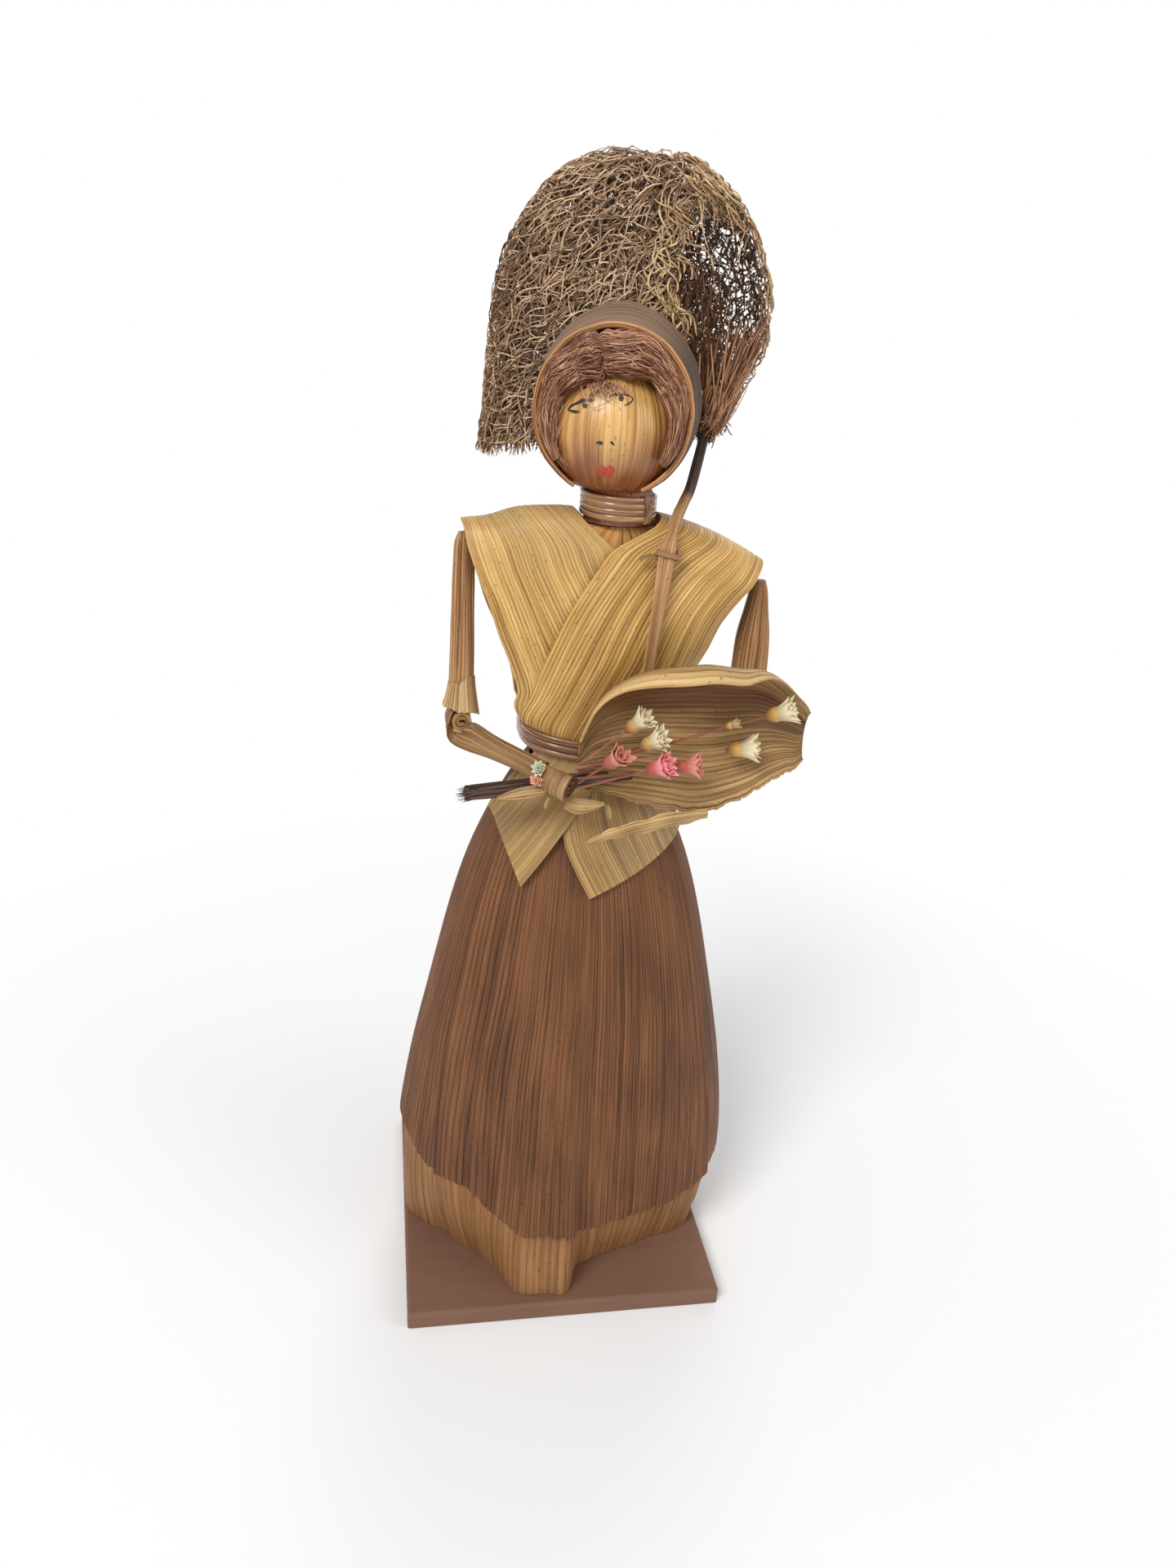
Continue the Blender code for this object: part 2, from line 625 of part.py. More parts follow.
def make_torso(looks):
    """The bound husk bundle that the body is built on, with its sockets."""
    sides = 20
    rings = []
    for share, wide, deep in bundle_shares:
        centre = Vector((chest_centre(share), 0, WAIST + share * TORSO_HEIGHT))
        half_width = BUNDLE_HALF_WIDTH * wide
        rings.append(oval(centre, UP, BACK, BUNDLE_DEPTH * deep, half_width, sides))
    torso = loft("torso_bundle", rings, looks["husk_amber"])
    dowel_top = Vector((SKIRT_X, 0, mix(WAIST, SHOULDER, DOWEL_TOP_SHARE) + SEAT))
    under = Vector((SKIRT_X, 0, SKIRT_TOP - OVERRUN))
    cut(torso, rod("dowel_cutter", under, dowel_top, DOWEL_RADIUS + SEAT, looks["plain_wood"]))
    peg_foot = neck_place(-PEG_DEPTH_SHARE * TORSO_HEIGHT)
    cut(torso, rod("peg_cutter", peg_foot, neck_place(0), PEG_RADIUS + SEAT, looks["plain_wood"]))
    right, left = shoulder_ends()
    cut(torso, rod("shoulder_cutter", right, left, WIRE_RADIUS + SEAT, looks["wire"]))
    rod("shoulder_wire", right, left, WIRE_RADIUS, looks["wire"], 8)


def neck_place(height):
    """A point on the neck's axis, above the foot of the neck."""
    return Vector((NECK_X, 0, SHOULDER + height))


def shoulder_ends():
    """The two ends of the wire through the shoulders."""
    right_x = NECK_X - SHOULDER_HALF * RIGHT_WIRE_SHARE
    left_x = NECK_X + SHOULDER_HALF
    right = Vector((right_x, 0, shoulder_level(right_x) - SHOULDER_WIRE_DROP))
    left = Vector((left_x, 0, shoulder_level(left_x) - SHOULDER_WIRE_DROP))
    return right, left


def make_shawl_strip(name, edges, ridge, tab, lift, look):
    """A long husk from its pointed end at the front, over the shoulder and down the back."""
    across = 7
    front_rows = 11
    back_rows = 8
    shares = [k / across for k in range(across + 1)]

    def edge_row(share, side, depth):
        centre = chest_centre(share)
        low = centre + SHOULDER_HALF * smooth(column(edges, 1), share)
        high = centre + SHOULDER_HALF * smooth(column(edges, 2), share)
        row = []
        for place in shares:
            x = mix(low, high, place)
            z = mix(WAIST, shoulder_level(x) - SHOULDER_ROUND, share)
            row.append(Vector((x, side * (drape_depth(x, z) + depth), z)))
        return row

    def ridge_row(turn, low_share, high_share, depth):
        row = []
        for place in shares:
            x = NECK_X + SHOULDER_HALF * mix(low_share, high_share, place)
            base = shoulder_level(x) - SHOULDER_ROUND
            y = -(drape_depth(x, base) + depth) * math.cos(math.pi * turn)
            row.append(Vector((x, y, base + (SHOULDER_ROUND + depth) * math.sin(math.pi * turn))))
        return row

    def tab_row(left_x, left_down, right_x, right_down, depth):
        row = []
        for place in shares:
            x = WAIST_X + TAB_LENGTH * mix(left_x, right_x, place)
            z = WAIST - TAB_LENGTH * mix(left_down, right_down, place)
            row.append(Vector((x, -(drape_depth(x, z) + depth), z)))
        return row

    def grid(depth):
        rows = [tab_row(*corner, depth) for corner in reversed(tab)]
        rows += [edge_row(k / front_rows, -1, depth) for k in range(front_rows + 1)]
        rows += [ridge_row(turn, low, high, depth) for turn, low, high in ridge]
        rows += [edge_row(k / back_rows, 1, depth) for k in range(back_rows, -1, -1)]
        return rows

    return layer(name, grid(lift + HUSK), grid(lift), look)


def make_shawl(looks):
    """The two crossed shawl strips: the doll's left one lies on top."""
    make_shawl_strip("shawl_right", right_strip_shares, right_ridge_shares, right_tab_shares, LAYER_GAP,
                     looks["husk_gold"])
    make_shawl_strip("shawl_left", left_strip_shares, left_ridge_shares, left_tab_shares, TOP_STRIP_LIFT,
                     looks["husk_gold"])


def make_waistband(looks):
    """The waist winding: three turns round the shawl, tilted down to the doll's left."""
    half_width = SHOULDER_HALF * smooth(chest_width_shares, 0) + BAND_SIDE_STANDOFF
    half_depth = CHEST_DEPTH * smooth(chest_depth_shares, 0) + BAND_FRONT_STANDOFF
    path = []
    for k in range(BAND_TURNS * LOOP_POINTS + 1):
        turn = math.tau * k / LOOP_POINTS
        x = half_width * math.sin(turn)
        climb = BAND_PITCH * (k / LOOP_POINTS - BAND_TURNS / 2)
        z = WAIST + climb - x * math.tan(BAND_TILT)
        path.append(Vector((WAIST_X + x, half_depth * math.cos(turn), z)))
    check_turns("waistband", path, BAND_CORD)
    winding("waistband", path, BAND_CORD, looks["husk_amber"])


def make_neck_band(looks):
    """The neck winding: five turns round the gathered husk."""
    radius = NECK_RADIUS + SEAT + NECK_CORD / 2
    path = []
    for k in range(NECK_TURNS * LOOP_POINTS + 1):
        turn = math.tau * k / LOOP_POINTS
        z = NECK_CORD / 2 + NECK_RISE + NECK_PITCH * k / LOOP_POINTS
        path.append(neck_place(z) + Vector((radius * math.sin(turn), radius * math.cos(turn), 0)))
    check_turns("neck_band", path, NECK_CORD)
    winding("neck_band", path, NECK_CORD, looks["husk_amber"])


# Head

def make_head(looks):
    """The ball, the husk drawn over it and gathered at the neck, and the peg it turns on."""
    flat_turn = math.asin(NECK_RADIUS / HEAD_RADIUS)
    neck_foot = -NECK_SINK_SHARE * NECK_RADIUS
    turns = [math.tau * k / HEAD_SIDES for k in range(HEAD_SIDES)]
    rows = 9

    def ring(centre, radius):
        return [centre + Vector((radius * math.sin(turn), -radius * math.cos(turn), 0)) for turn in turns]

    def skin(inset):
        radius = HEAD_RADIUS - inset
        grid = []
        for k in range(rows + 1):
            polar = mix(CROWN_SHARE * math.pi, math.pi - flat_turn, k / rows)
            lift = Vector((0, 0, radius * math.cos(polar)))
            grid.append(ring(HEAD_CENTRE + lift, radius * math.sin(polar)))
        band_top = NECK_RISE + NECK_PITCH * NECK_TURNS + NECK_CORD + SEAT
        grid[-1] = ring(neck_place(band_top + inset), NECK_RADIUS - inset)
        grid.append(ring(neck_place(neck_foot), NECK_RADIUS - inset))
        return grid

    layer("head_husk", skin(0), skin(HUSK), looks["husk_face"], ring=True)

    ball_radius = HEAD_RADIUS - HUSK - SEAT
    ball_rings = []
    for k in range(8):
        polar = math.pi * mix(BALL_TOP_SHARE, BALL_SEAT_SHARE, k / 7)
        lift = UP * ball_radius * math.cos(polar)
        ball_rings.append(ring(HEAD_CENTRE + lift, ball_radius * math.sin(polar)))
    ball = loft("head_ball", ball_rings, looks["pulp"])
    peg_top = Vector((NECK_X, 0, HEAD_CENTRE.z - PEG_STOP_SHARE * HEAD_RADIUS))
    peg_foot = neck_place(-PEG_DEPTH_SHARE * TORSO_HEIGHT + SEAT)
    below = neck_place(neck_foot)
    cut(ball, rod("ball_cutter", below, peg_top + Vector((0, 0, SEAT)), PEG_RADIUS + SEAT, looks["pulp"]))
    rod("neck_peg", peg_foot, peg_top, PEG_RADIUS, looks["plain_wood"])

    fill_radius = NECK_RADIUS - HUSK - SEAT
    fill_top = Vector((NECK_X, 0, HEAD_CENTRE.z + ball_radius * math.cos(math.pi * BALL_SEAT_SHARE) - SEAT))
    fill_foot = neck_place(neck_foot)
    fill = rod("neck_bundle", fill_foot, fill_top, fill_radius, looks["husk_fill"], 16)
    cut(fill, rod("fill_cutter", fill_foot - Vector((0, 0, OVERRUN)), fill_top + Vector((0, 0, OVERRUN)),
                  PEG_RADIUS + SEAT, looks["pulp"]))


def bonnet_frame():
    """The middle of the bonnet's rim, its axis towards the back, and its side direction."""
    middle = HEAD_CENTRE + Vector((-BONNET_SHIFT, -BONNET_SETBACK, BONNET_LIFT))
    back = Vector((math.sin(BONNET_TURN), math.cos(BONNET_TURN), 0))
    side = Vector((math.cos(BONNET_TURN), -math.sin(BONNET_TURN), 0))
    return middle, back, side


def bonnet_point(behind, radius, turn):
    """A point round the bonnet's axis; the turn is 0 at the top and grows towards the doll's left."""
    middle, back, side = bonnet_frame()
    across = radius * BONNET_NARROW_SHARE * math.sin(turn)
    rise = radius * math.cos(turn) + BONNET_LENGTH * BONNET_TILT_SHARE * (behind / BONNET_LENGTH) ** 3
    return middle + back * behind + side * across + Vector((0, 0, rise))


def make_bonnet(looks):
    """A stiff husk hood, open in front and under the chin, drawn together at the back."""
    across = 22
    rows = 9
    reach = math.pi - BONNET_OPENING
    grid = []
    for r in range(rows + 1):
        share = 1 - (1 - r / rows) ** 1.4
        radius = BONNET_RADIUS * smooth(bonnet_shares, share)
        grid.append([bonnet_point(BONNET_LENGTH * share, radius, mix(-reach, reach, c / across))
                     for c in range(across + 1)])
    sheet("bonnet", grid, BONNET_HUSK, looks["husk_grey"])


def make_hair(looks):
    """Two bunches of fibre, parted above the forehead and tucked between head and bonnet."""
    parting = math.radians(-17)
    seam = math.radians(1.5)
    ends = (math.radians(-128), math.radians(126))
    sides = 10
    for name, end in (("hair_right", ends[0]), ("hair_left", ends[1])):
        start = parting + math.copysign(seam, end)
        rings = []
        for k in range(9):
            share = k / 8
            turn = mix(start, end, share)
            radius = BONNET_RADIUS * smooth(column(hair_shares, 1), share)
            half = BONNET_RADIUS * smooth(column(hair_shares, 2), share)
            centre = bonnet_point(-HAIR_FORWARD_SHARE * HAIR_DEPTH, radius, turn)
            outward = (bonnet_point(0, BONNET_RADIUS, turn) - bonnet_point(0, 0, turn)).normalized()
            back = bonnet_frame()[1]
            deep = HAIR_DEPTH * mix(1, 0.6, share)
            rings.append([centre + outward * half * math.cos(math.tau * j / sides)
                          + back * deep * math.sin(math.tau * j / sides) for j in range(sides)])
        bunch = loft(name, rings, looks["hair_fibre"])
        cut(bunch, ball_cutter(name + "_cutter", looks))


def ball_cutter(name, looks):
    """The head's own space with a seat gap."""
    radius = HEAD_RADIUS + SEAT
    shape = bmesh.new()
    bmesh.ops.create_uvsphere(shape, u_segments=HEAD_SIDES, v_segments=16, radius=radius * FACET_SHARE)
    bmesh.ops.translate(shape, verts=shape.verts, vec=HEAD_CENTRE)
    mesh = bpy.data.meshes.new(name)
    shape.to_mesh(mesh)
    shape.free()
    return finish(name, mesh, looks["pulp"])


# Arms

def arm_top(word):
    """The end of the shoulder wire inside an upper arm."""
    right, left = shoulder_ends()
    return right if word == "right" else left


def elbow_place(word):
    """The middle of the elbow roll, straight below the shoulder."""
    return arm_top(word) - Vector((0, 0, ARM_LENGTH))


def hand_place(word):
    """The middle of the hand."""
    if word == "right":
        return elbow_place(word) + Vector((HAND_ACROSS, -HAND_FORWARD, -HAND_DROP))
    return elbow_place(word) + Vector((-LEFT_HAND_ACROSS, -LEFT_HAND_FORWARD, LEFT_HAND_RISE))


def make_upper_arm(word, shape, half, look, wire_look):
    """A hanging husk tube on the shoulder wire, with the wire that stiffens it."""
    top = arm_top(word)
    crown = top + Vector((0, 0, ARM_DEPTH))
    foot = elbow_place(word) + Vector((0, 0, ELBOW_RADIUS + SEAT))
    stations = [(mix(crown, foot, share), ARM_DEPTH * deep, half * wide) for share, wide, deep in shape]
    arm = limb("upper_arm_" + word, stations, BACK, 10, look)
    right, left = shoulder_ends()
    hole = WIRE_RADIUS + SEAT
    beyond = (left - right).normalized() * SEAT
    cut(arm, rod("shoulder_hole_" + word, right - beyond, left + beyond, hole, wire_look))
    wire_top = top - Vector((0, 0, ARM_DEPTH))
    seat = Vector((0, 0, SEAT))
    overrun = Vector((0, 0, OVERRUN))
    cut(arm, rod("arm_hole_" + word, wire_top + seat, foot - overrun, hole, wire_look, 8))
    rod("arm_wire_" + word, wire_top, foot, WIRE_RADIUS, wire_look, 8)


def make_cuff(looks):
    """The pale turned-out end of the right sleeve, a band round the arm above the elbow."""
    foot = elbow_place("right") + Vector((0, 0, ELBOW_RADIUS + SEAT))
    sides = 14
    outer = []
    inner = []
    for lift, flare in cuff_shares:
        centre = foot + Vector((0, 0, CUFF_LENGTH * lift))
        arm_share = 1 - CUFF_LENGTH * lift / (ARM_LENGTH + ARM_DEPTH - ELBOW_RADIUS)
        wide = ARM_HALF * smooth(column(arm_right_shares, 1), arm_share) + SEAT * CUFF_FACET_SHARE
        deep = ARM_DEPTH * smooth(column(arm_right_shares, 2), arm_share) + SEAT * CUFF_FACET_SHARE
        skin = HUSK + SEAT * flare
        up = UP
        forward = BACK
        outer.append(oval(centre, up, forward, deep + skin, wide + skin, sides))
        inner.append(oval(centre, up, forward, deep, wide, sides))
    layer("cuff_right", outer, inner, looks["husk_gold"], ring=True)


def make_elbow(word, looks):
    """The rolled husk at the elbow; its axis points forward and the forearm turns about it."""
    middle = elbow_place(word)
    front = middle - Vector((0, ELBOW_LENGTH * ELBOW_FRONT_SHARE, 0))
    rear = front + Vector((0, ELBOW_LENGTH, 0))
    rod("elbow_roll_" + word, front, rear, ELBOW_RADIUS, looks["husk_tan"], 14)
    return front


def make_forearm(word, front, stop, looks):
    """A flattened husk tube from the front of the elbow roll to the hand, with its wire."""
    hand = hand_place(word)
    beside = math.copysign(ELBOW_RADIUS * FOREARM_SIDE_SHARE, hand.x - front.x)
    start = front + Vector((beside, -(SEAT + FOREARM_THICK), 0))
    along = (hand - start).normalized()
    end = hand - along * stop
    stations = [(mix(start, end, share), FOREARM_TALL * tall, FOREARM_THICK * thick)
                for share, tall, thick in forearm_shares]
    arm = limb("forearm_" + word, stations, UP, 10, looks["husk_tan"])
    wire_end = mix(start, end, WIRE_END_SHARE)
    cut(arm, rod("forearm_hole_" + word, start - along * OVERRUN, wire_end + along * SEAT,
                 WIRE_RADIUS + SEAT, looks["wire"], 8))
    rod("forearm_wire_" + word, start, wire_end, WIRE_RADIUS, looks["wire"], 8)


def stem_axis():
    """Direction of the posy's stems through the right hand, towards the flowers."""
    return Vector((1, -0.064, 0.142)).normalized()


def make_fist(start, end, look):
    """The right hand: a short husk roll with a shallow step at both ends where its turns show."""
    along = (end - start).normalized()
    lip = along * HUSK
    step = HAND_RADIUS * HAND_STEP_SHARE
    stations = [(start + lip, step), (start, step), (start, HAND_RADIUS), (end, HAND_RADIUS), (end, step),
                (end - lip, step)]
    rings = [oval(centre, along, UP, radius, radius, 14) for centre, radius in stations]
    return loft("hand_right", rings, look)


def make_hands(looks):
    """The right hand is a husk roll round the stems; the left one is a smaller roll behind the leaf."""
    hand = hand_place("right")
    along = stem_axis()
    half = along * HAND_LENGTH / 2
    fist = make_fist(hand - half, hand + half, looks["husk_tan"])
    beyond = along * OVERRUN
    cut(fist, rod("stem_hole", hand - half - beyond, hand + half + beyond, STEM_RADIUS + SEAT, looks["stem"]))
    left = hand_place("left")
    reach = Vector((0, 0, LEFT_HAND_LENGTH / 2))
    rod("hand_left", left - reach, left + reach, LEFT_HAND_RADIUS, looks["husk_tan"], 14)


def make_arms(looks):
    """Both arms from the shoulder wire to the hands."""
    make_upper_arm("right", arm_right_shares, ARM_HALF, looks["husk_amber"], looks["wire"])
    make_upper_arm("left", arm_left_shares, LEFT_ARM_HALF, looks["husk_amber"], looks["wire"])
    make_cuff(looks)
    right_stop = HAND_LENGTH / 2 + HAND_RADIUS * HAND_CORNER_SHARE
    left_stop = LEFT_HAND_RADIUS + FOREARM_TALL * HAND_LEAN_SHARE
    make_forearm("right", make_elbow("right", looks), right_stop, looks)
    make_forearm("left", make_elbow("left", looks), left_stop, looks)
    make_hands(looks)


# Posy

def leaf_root():
    """Where the leaf is gathered, beside the right hand and behind the stems."""
    hand = hand_place("right")
    return hand + Vector((HAND_LENGTH / 2 + SEAT + HUSK, LEAF_STANDOFF, SEAT))


def leaf_point(along, height):
    """A point of the leaf; the height runs from -1 at its lower edge to 1 at its upper edge."""
    root = leaf_root()
    middle = smooth(column(leaf_shares, 1), along)
    half = smooth(column(leaf_shares, 2), along)
    rim = abs(height) ** RIM_SHARPNESS * half * (1 if height > 0 else LEAF_LOWER_SHARE)
    forward = LEAF_CUP * (smooth(leaf_back_shares, along) + rim)
    return root + Vector((LEAF_LENGTH * along, -forward, LEAF_HALF_HEIGHT * (middle + height * half)))


def make_leaf(looks):
    """The husk fan behind the flowers, and the torn strip that hangs from its lower edge."""
    rows = 14
    across = 8
    heights = [mix(-1, 1, c / across) for c in range(across + 1)]
    grid = [[leaf_point(r / rows, height) for height in heights] for r in range(rows + 1)]
    sheet("bouquet_leaf", grid, HUSK, looks["husk_gold"])
    root = leaf_root()
    strip = []
    for along, forward, height, half in strip_shares:
        centre = root + Vector((LEAF_LENGTH * along, -LEAF_CUP * forward, LEAF_HALF_HEIGHT * height))
        reach = Vector((0, 0, LEAF_HALF_HEIGHT * half))
        strip.append([centre - reach, centre, centre + reach])
    sheet("leaf_strip", strip, HUSK, looks["husk_gold"])


def bloom(name, start, centre, size, look):
    """A dried flower on its stalk: one loft from the stalk's foot to the middle of the petals."""
    along = (centre - start).normalized()
    up = UP if abs(along.z) < STEEP_SHARE else BACK
    stalk_end = centre + along * size * flower_profile_shares[0][0]
    rings = [oval(start, along, up, STALK_RADIUS, STALK_RADIUS, 8),
             oval(stalk_end, along, up, STALK_RADIUS, STALK_RADIUS, 8)]
    for forward, wide in flower_profile_shares[1:]:
        rings.append(oval(centre + along * size * forward, along, up, size * wide, size * wide, 8))
    return loft(name, rings, look)


def make_posy(looks):
    """The stems through the hand, the flowers on their stalks and the small bits at the hand."""
    hand = hand_place("right")
    along = stem_axis()
    up = UP
    stations = [(hand + along * mix(-STEM_TAIL, STEM_TIP, share), STEM_RADIUS * wide, STEM_RADIUS * wide)
                for share, wide in stem_shares]
    limb("stem_bundle", stations, up, 9, looks["stem"])
    side = along.cross(up).normalized()
    rise = side.cross(along).normalized()
    face = hand + along * (HAND_LENGTH / 2 + SEAT)
    root = leaf_root()
    for name, away, height, forward, size, turn, look in flower_shares:
        ring = STEM_RADIUS + SEAT + 2 * STALK_RADIUS
        spot = math.tau * turn
        start = face + rise * ring * math.cos(spot) + side * ring * math.sin(spot)
        centre = root + Vector((LEAF_LENGTH * away, -LEAF_CUP * forward, LEAF_HALF_HEIGHT * height))
        bloom(name, start, centre, FLOWER_RADIUS * size, looks[look])
    behind = hand - along * (HAND_LENGTH / 2 + SEAT)
    for name, across, turn, size, look in bit_shares:
        reach = FLOWER_RADIUS * size
        spot = math.tau * turn
        outward = rise * math.cos(spot) + side * math.sin(spot)
        centre = behind - along * reach * across + outward * (STEM_RADIUS + SEAT + reach)
        rings = [oval(centre + outward * reach * lift, outward, along, reach * wide, reach * wide, 8)
                 for lift, wide in bit_profile_shares]
        loft(name, rings, looks[look])
    scrap = []
    for share, wide in scrap_shares:
        centre = behind - along * (SEAT + SCRAP_LENGTH * share) + rise * -(STEM_RADIUS + SEAT + HUSK)
        reach = (side * SCRAP_SIDE_SHARE - rise * SCRAP_FALL_SHARE) * SCRAP_LENGTH * wide
        scrap.append([centre, centre + reach / 2, centre + reach])
    sheet("husk_scrap", scrap, HUSK, looks["husk_gold"])


# Parasol

def tie_place():
    """Where the parasol's stick passes through its tie on the doll's left shoulder strip."""
    x = NECK_X + SHOULDER_HALF * TIE_ACROSS_SHARE
    z = WAIST + TORSO_HEIGHT * TIE_HEIGHT_SHARE
    lift = TOP_STRIP_LIFT + HUSK + SEAT + TIE_CORD + SEAT + STICK_RADIUS
    return Vector((x, -(drape_depth(x, shoulder_level(x) - SHOULDER_ROUND) + lift), z))


def stick_axis():
    """Direction of the stick's straight length in front of the chest."""
    return Vector((0.135, 0.175, 0.975)).normalized()


def stick_end():
    """The top of the stick, where the net is gathered on it."""
    return tie_place() + SHOULDER_HALF * Vector(stick_bend_shares[-1])


def make_parasol(looks):
    """The bent stick, its tie, the bound gather and the open net canopy."""
    tie = tie_place()
    along = stick_axis()
    foot = tie - along * STICK_DROP
    stations = [(mix(foot, tie, share), STICK_RADIUS, STICK_RADIUS) for share in (0, 0.4, 0.75, 1)]
    stations += [(tie + SHOULDER_HALF * Vector(bend), STICK_RADIUS, STICK_RADIUS)
                 for bend in stick_bend_shares]
    limb("parasol_stick", stations, Vector((1, 0, 0)), 8, looks["husk_tan"])

    side = along.cross(BACK).normalized()
    rise = side.cross(along).normalized()
    ring = STICK_RADIUS + SEAT + TIE_CORD / 2
    path = []
    for k in range(round(TIE_TURNS * LOOP_POINTS) + 1):
        turn = math.tau * k / LOOP_POINTS
        drop = TIE_PITCH * (TIE_TURNS * TIE_LOW_SHARE - k / LOOP_POINTS)
        path.append(tie - along * drop + (side * math.cos(turn) + rise * math.sin(turn)) * ring)
    check_turns("parasol_tie", path, TIE_CORD)
    winding("parasol_tie", path, TIE_CORD, looks["husk_amber"])

    top = stick_end()
    lean = (top - (tie + SHOULDER_HALF * Vector(stick_bend_shares[-2]))).normalized()
    stations = [(top + lean * (SEAT + GATHER_RADIUS * lift), GATHER_RADIUS * wide, GATHER_RADIUS * wide)
                for lift, wide in gather_shares]
    limb("parasol_gather", stations, Vector((1, 0, 0)), 10, looks["net"])
    make_canopy(looks, top + lean * GATHER_RADIUS * gather_shares[-1][0])


def canopy_centre():
    """Middle of the canopy's widest ring, behind the bonnet."""
    middle, back, _ = bonnet_frame()
    bonnet_back = middle.y + back.y * BONNET_LENGTH + BONNET_HUSK
    y = bonnet_back + CANOPY_CLEARANCE + CANOPY_HALF_DEPTH
    return Vector((NECK_X + CANOPY_SHIFT, y, SHOULDER + CANOPY_RISE))


def make_canopy(looks, gather):
    """A net bag, open below and on the front of the doll's left side, drawn down to the gather."""
    around = 24
    domes = 5
    walls = 4
    centre = canopy_centre()
    grid = []
    for r in range(domes + walls + 1):
        row = []
        for c in range(around):
            spot = math.tau * c / around
            if r <= domes:
                polar = mix(CANOPY_CROWN_SHARE, 1, r / domes) * math.pi / 2
                wide = math.sin(polar)
                z = CANOPY_RISE * math.cos(polar)
                fall = 0
            else:
                fall = (r - domes) / walls
                wide = 1 + CANOPY_FLARE_SHARE * fall
                z = -CANOPY_FALL * fall * (1 - CANOPY_SLOPE_SHARE * (1 + math.cos(spot)))
            point = centre + Vector((CANOPY_HALF_WIDTH * wide * math.cos(spot),
                                     CANOPY_HALF_DEPTH * wide * math.sin(spot), z))
            pull = max(math.cos(spot - GATHER_TURN), 0) ** 2 * GATHER_PULL_SHARE * fall ** GATHER_EASE
            row.append(mix(point, gather, pull))
        grid.append(row)
    first = round(around * MOUTH_START_SHARE)
    last = round(around * MOUTH_END_SHARE)
    gap = {(r, c) for r in range(2, domes + walls) for c in range(first, last)}
    sheet("parasol_canopy", grid, CANOPY_NET, looks["net"], ring=True, gap=gap, lid=True)


# Joints

def hang(name, place, pieces, carrier=None):
    """An empty on a joint's axis that carries the pieces that move with it."""
    empty = bpy.data.objects.new(name, None)
    bpy.context.scene.collection.objects.link(empty)
    empty.location = place if carrier is None else place - carrier.location
    empty.parent = carrier
    for piece in pieces:
        obj = bpy.data.objects[piece]
        obj.parent = empty
        obj.matrix_parent_inverse = Matrix.Translation(-place)
    return empty


def hang_moving_pieces():
    """Every moving piece under an empty on the axis that it turns or slides on."""
    head = ["head_ball", "head_husk", "neck_bundle", "neck_band", "hair_right", "hair_left", "bonnet"]
    hang("head_turn", neck_place(0), head)
    posy = [row[0] for row in flower_shares] + [row[0] for row in bit_shares]
    posy += ["hand_right", "stem_bundle", "husk_scrap", "bouquet_leaf", "leaf_strip"]
    for word, held in (("right", posy), ("left", ["hand_left"])):
        upper = ["upper_arm_" + word, "arm_wire_" + word]
        if word == "right":
            upper.append("cuff_right")
        shoulder = hang("shoulder_" + word, arm_top(word), upper)
        lower = ["elbow_roll_" + word, "forearm_" + word, "forearm_wire_" + word]
        hang("elbow_" + word, elbow_place(word), lower + held, shoulder)
    hang("parasol_slide", tie_place(), ["parasol_stick", "parasol_gather", "parasol_canopy"])


def clear_scene():
    """Remove what the scene holds."""
    for obj in list(bpy.data.objects):
        bpy.data.objects.remove(obj, do_unlink=True)


def main():
    """Build every piece of the doll."""
    clear_scene()
    looks = make_materials()
    make_stand(looks)
    make_skirts(looks)
    make_torso(looks)
    make_shawl(looks)
    make_waistband(looks)
    make_neck_band(looks)
    make_head(looks)
    make_bonnet(looks)
    make_hair(looks)
    make_arms(looks)
    make_leaf(looks)
    make_posy(looks)
    make_parasol(looks)
    hang_moving_pieces()


main()
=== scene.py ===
"""The corn husk doll's looks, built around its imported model.

Metres, Z up. The doll faces -Y and its left hand is on the +X side. The outlines repeat
those of the solids. A grid of points has rows along a husk's veins and columns across.
"""
import math

import bpy
import numpy as np
from mathutils import Matrix


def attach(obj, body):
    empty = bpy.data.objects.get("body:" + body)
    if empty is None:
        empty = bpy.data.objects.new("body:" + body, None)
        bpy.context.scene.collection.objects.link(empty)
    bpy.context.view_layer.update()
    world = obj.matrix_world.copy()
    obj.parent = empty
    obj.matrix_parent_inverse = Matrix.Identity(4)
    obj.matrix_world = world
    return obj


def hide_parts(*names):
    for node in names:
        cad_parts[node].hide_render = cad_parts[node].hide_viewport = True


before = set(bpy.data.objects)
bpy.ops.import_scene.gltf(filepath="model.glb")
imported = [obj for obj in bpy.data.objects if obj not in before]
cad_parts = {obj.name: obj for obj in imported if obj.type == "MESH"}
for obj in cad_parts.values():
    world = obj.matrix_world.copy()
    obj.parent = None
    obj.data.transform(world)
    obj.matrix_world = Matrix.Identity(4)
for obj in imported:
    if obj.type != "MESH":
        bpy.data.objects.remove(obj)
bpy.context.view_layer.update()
rng = np.random.default_rng(11)

MM = 0.001
TAU = math.tau
UP = np.array([0.0, 0.0, 1.0])
BACK = np.array([0.0, 1.0, 0.0])

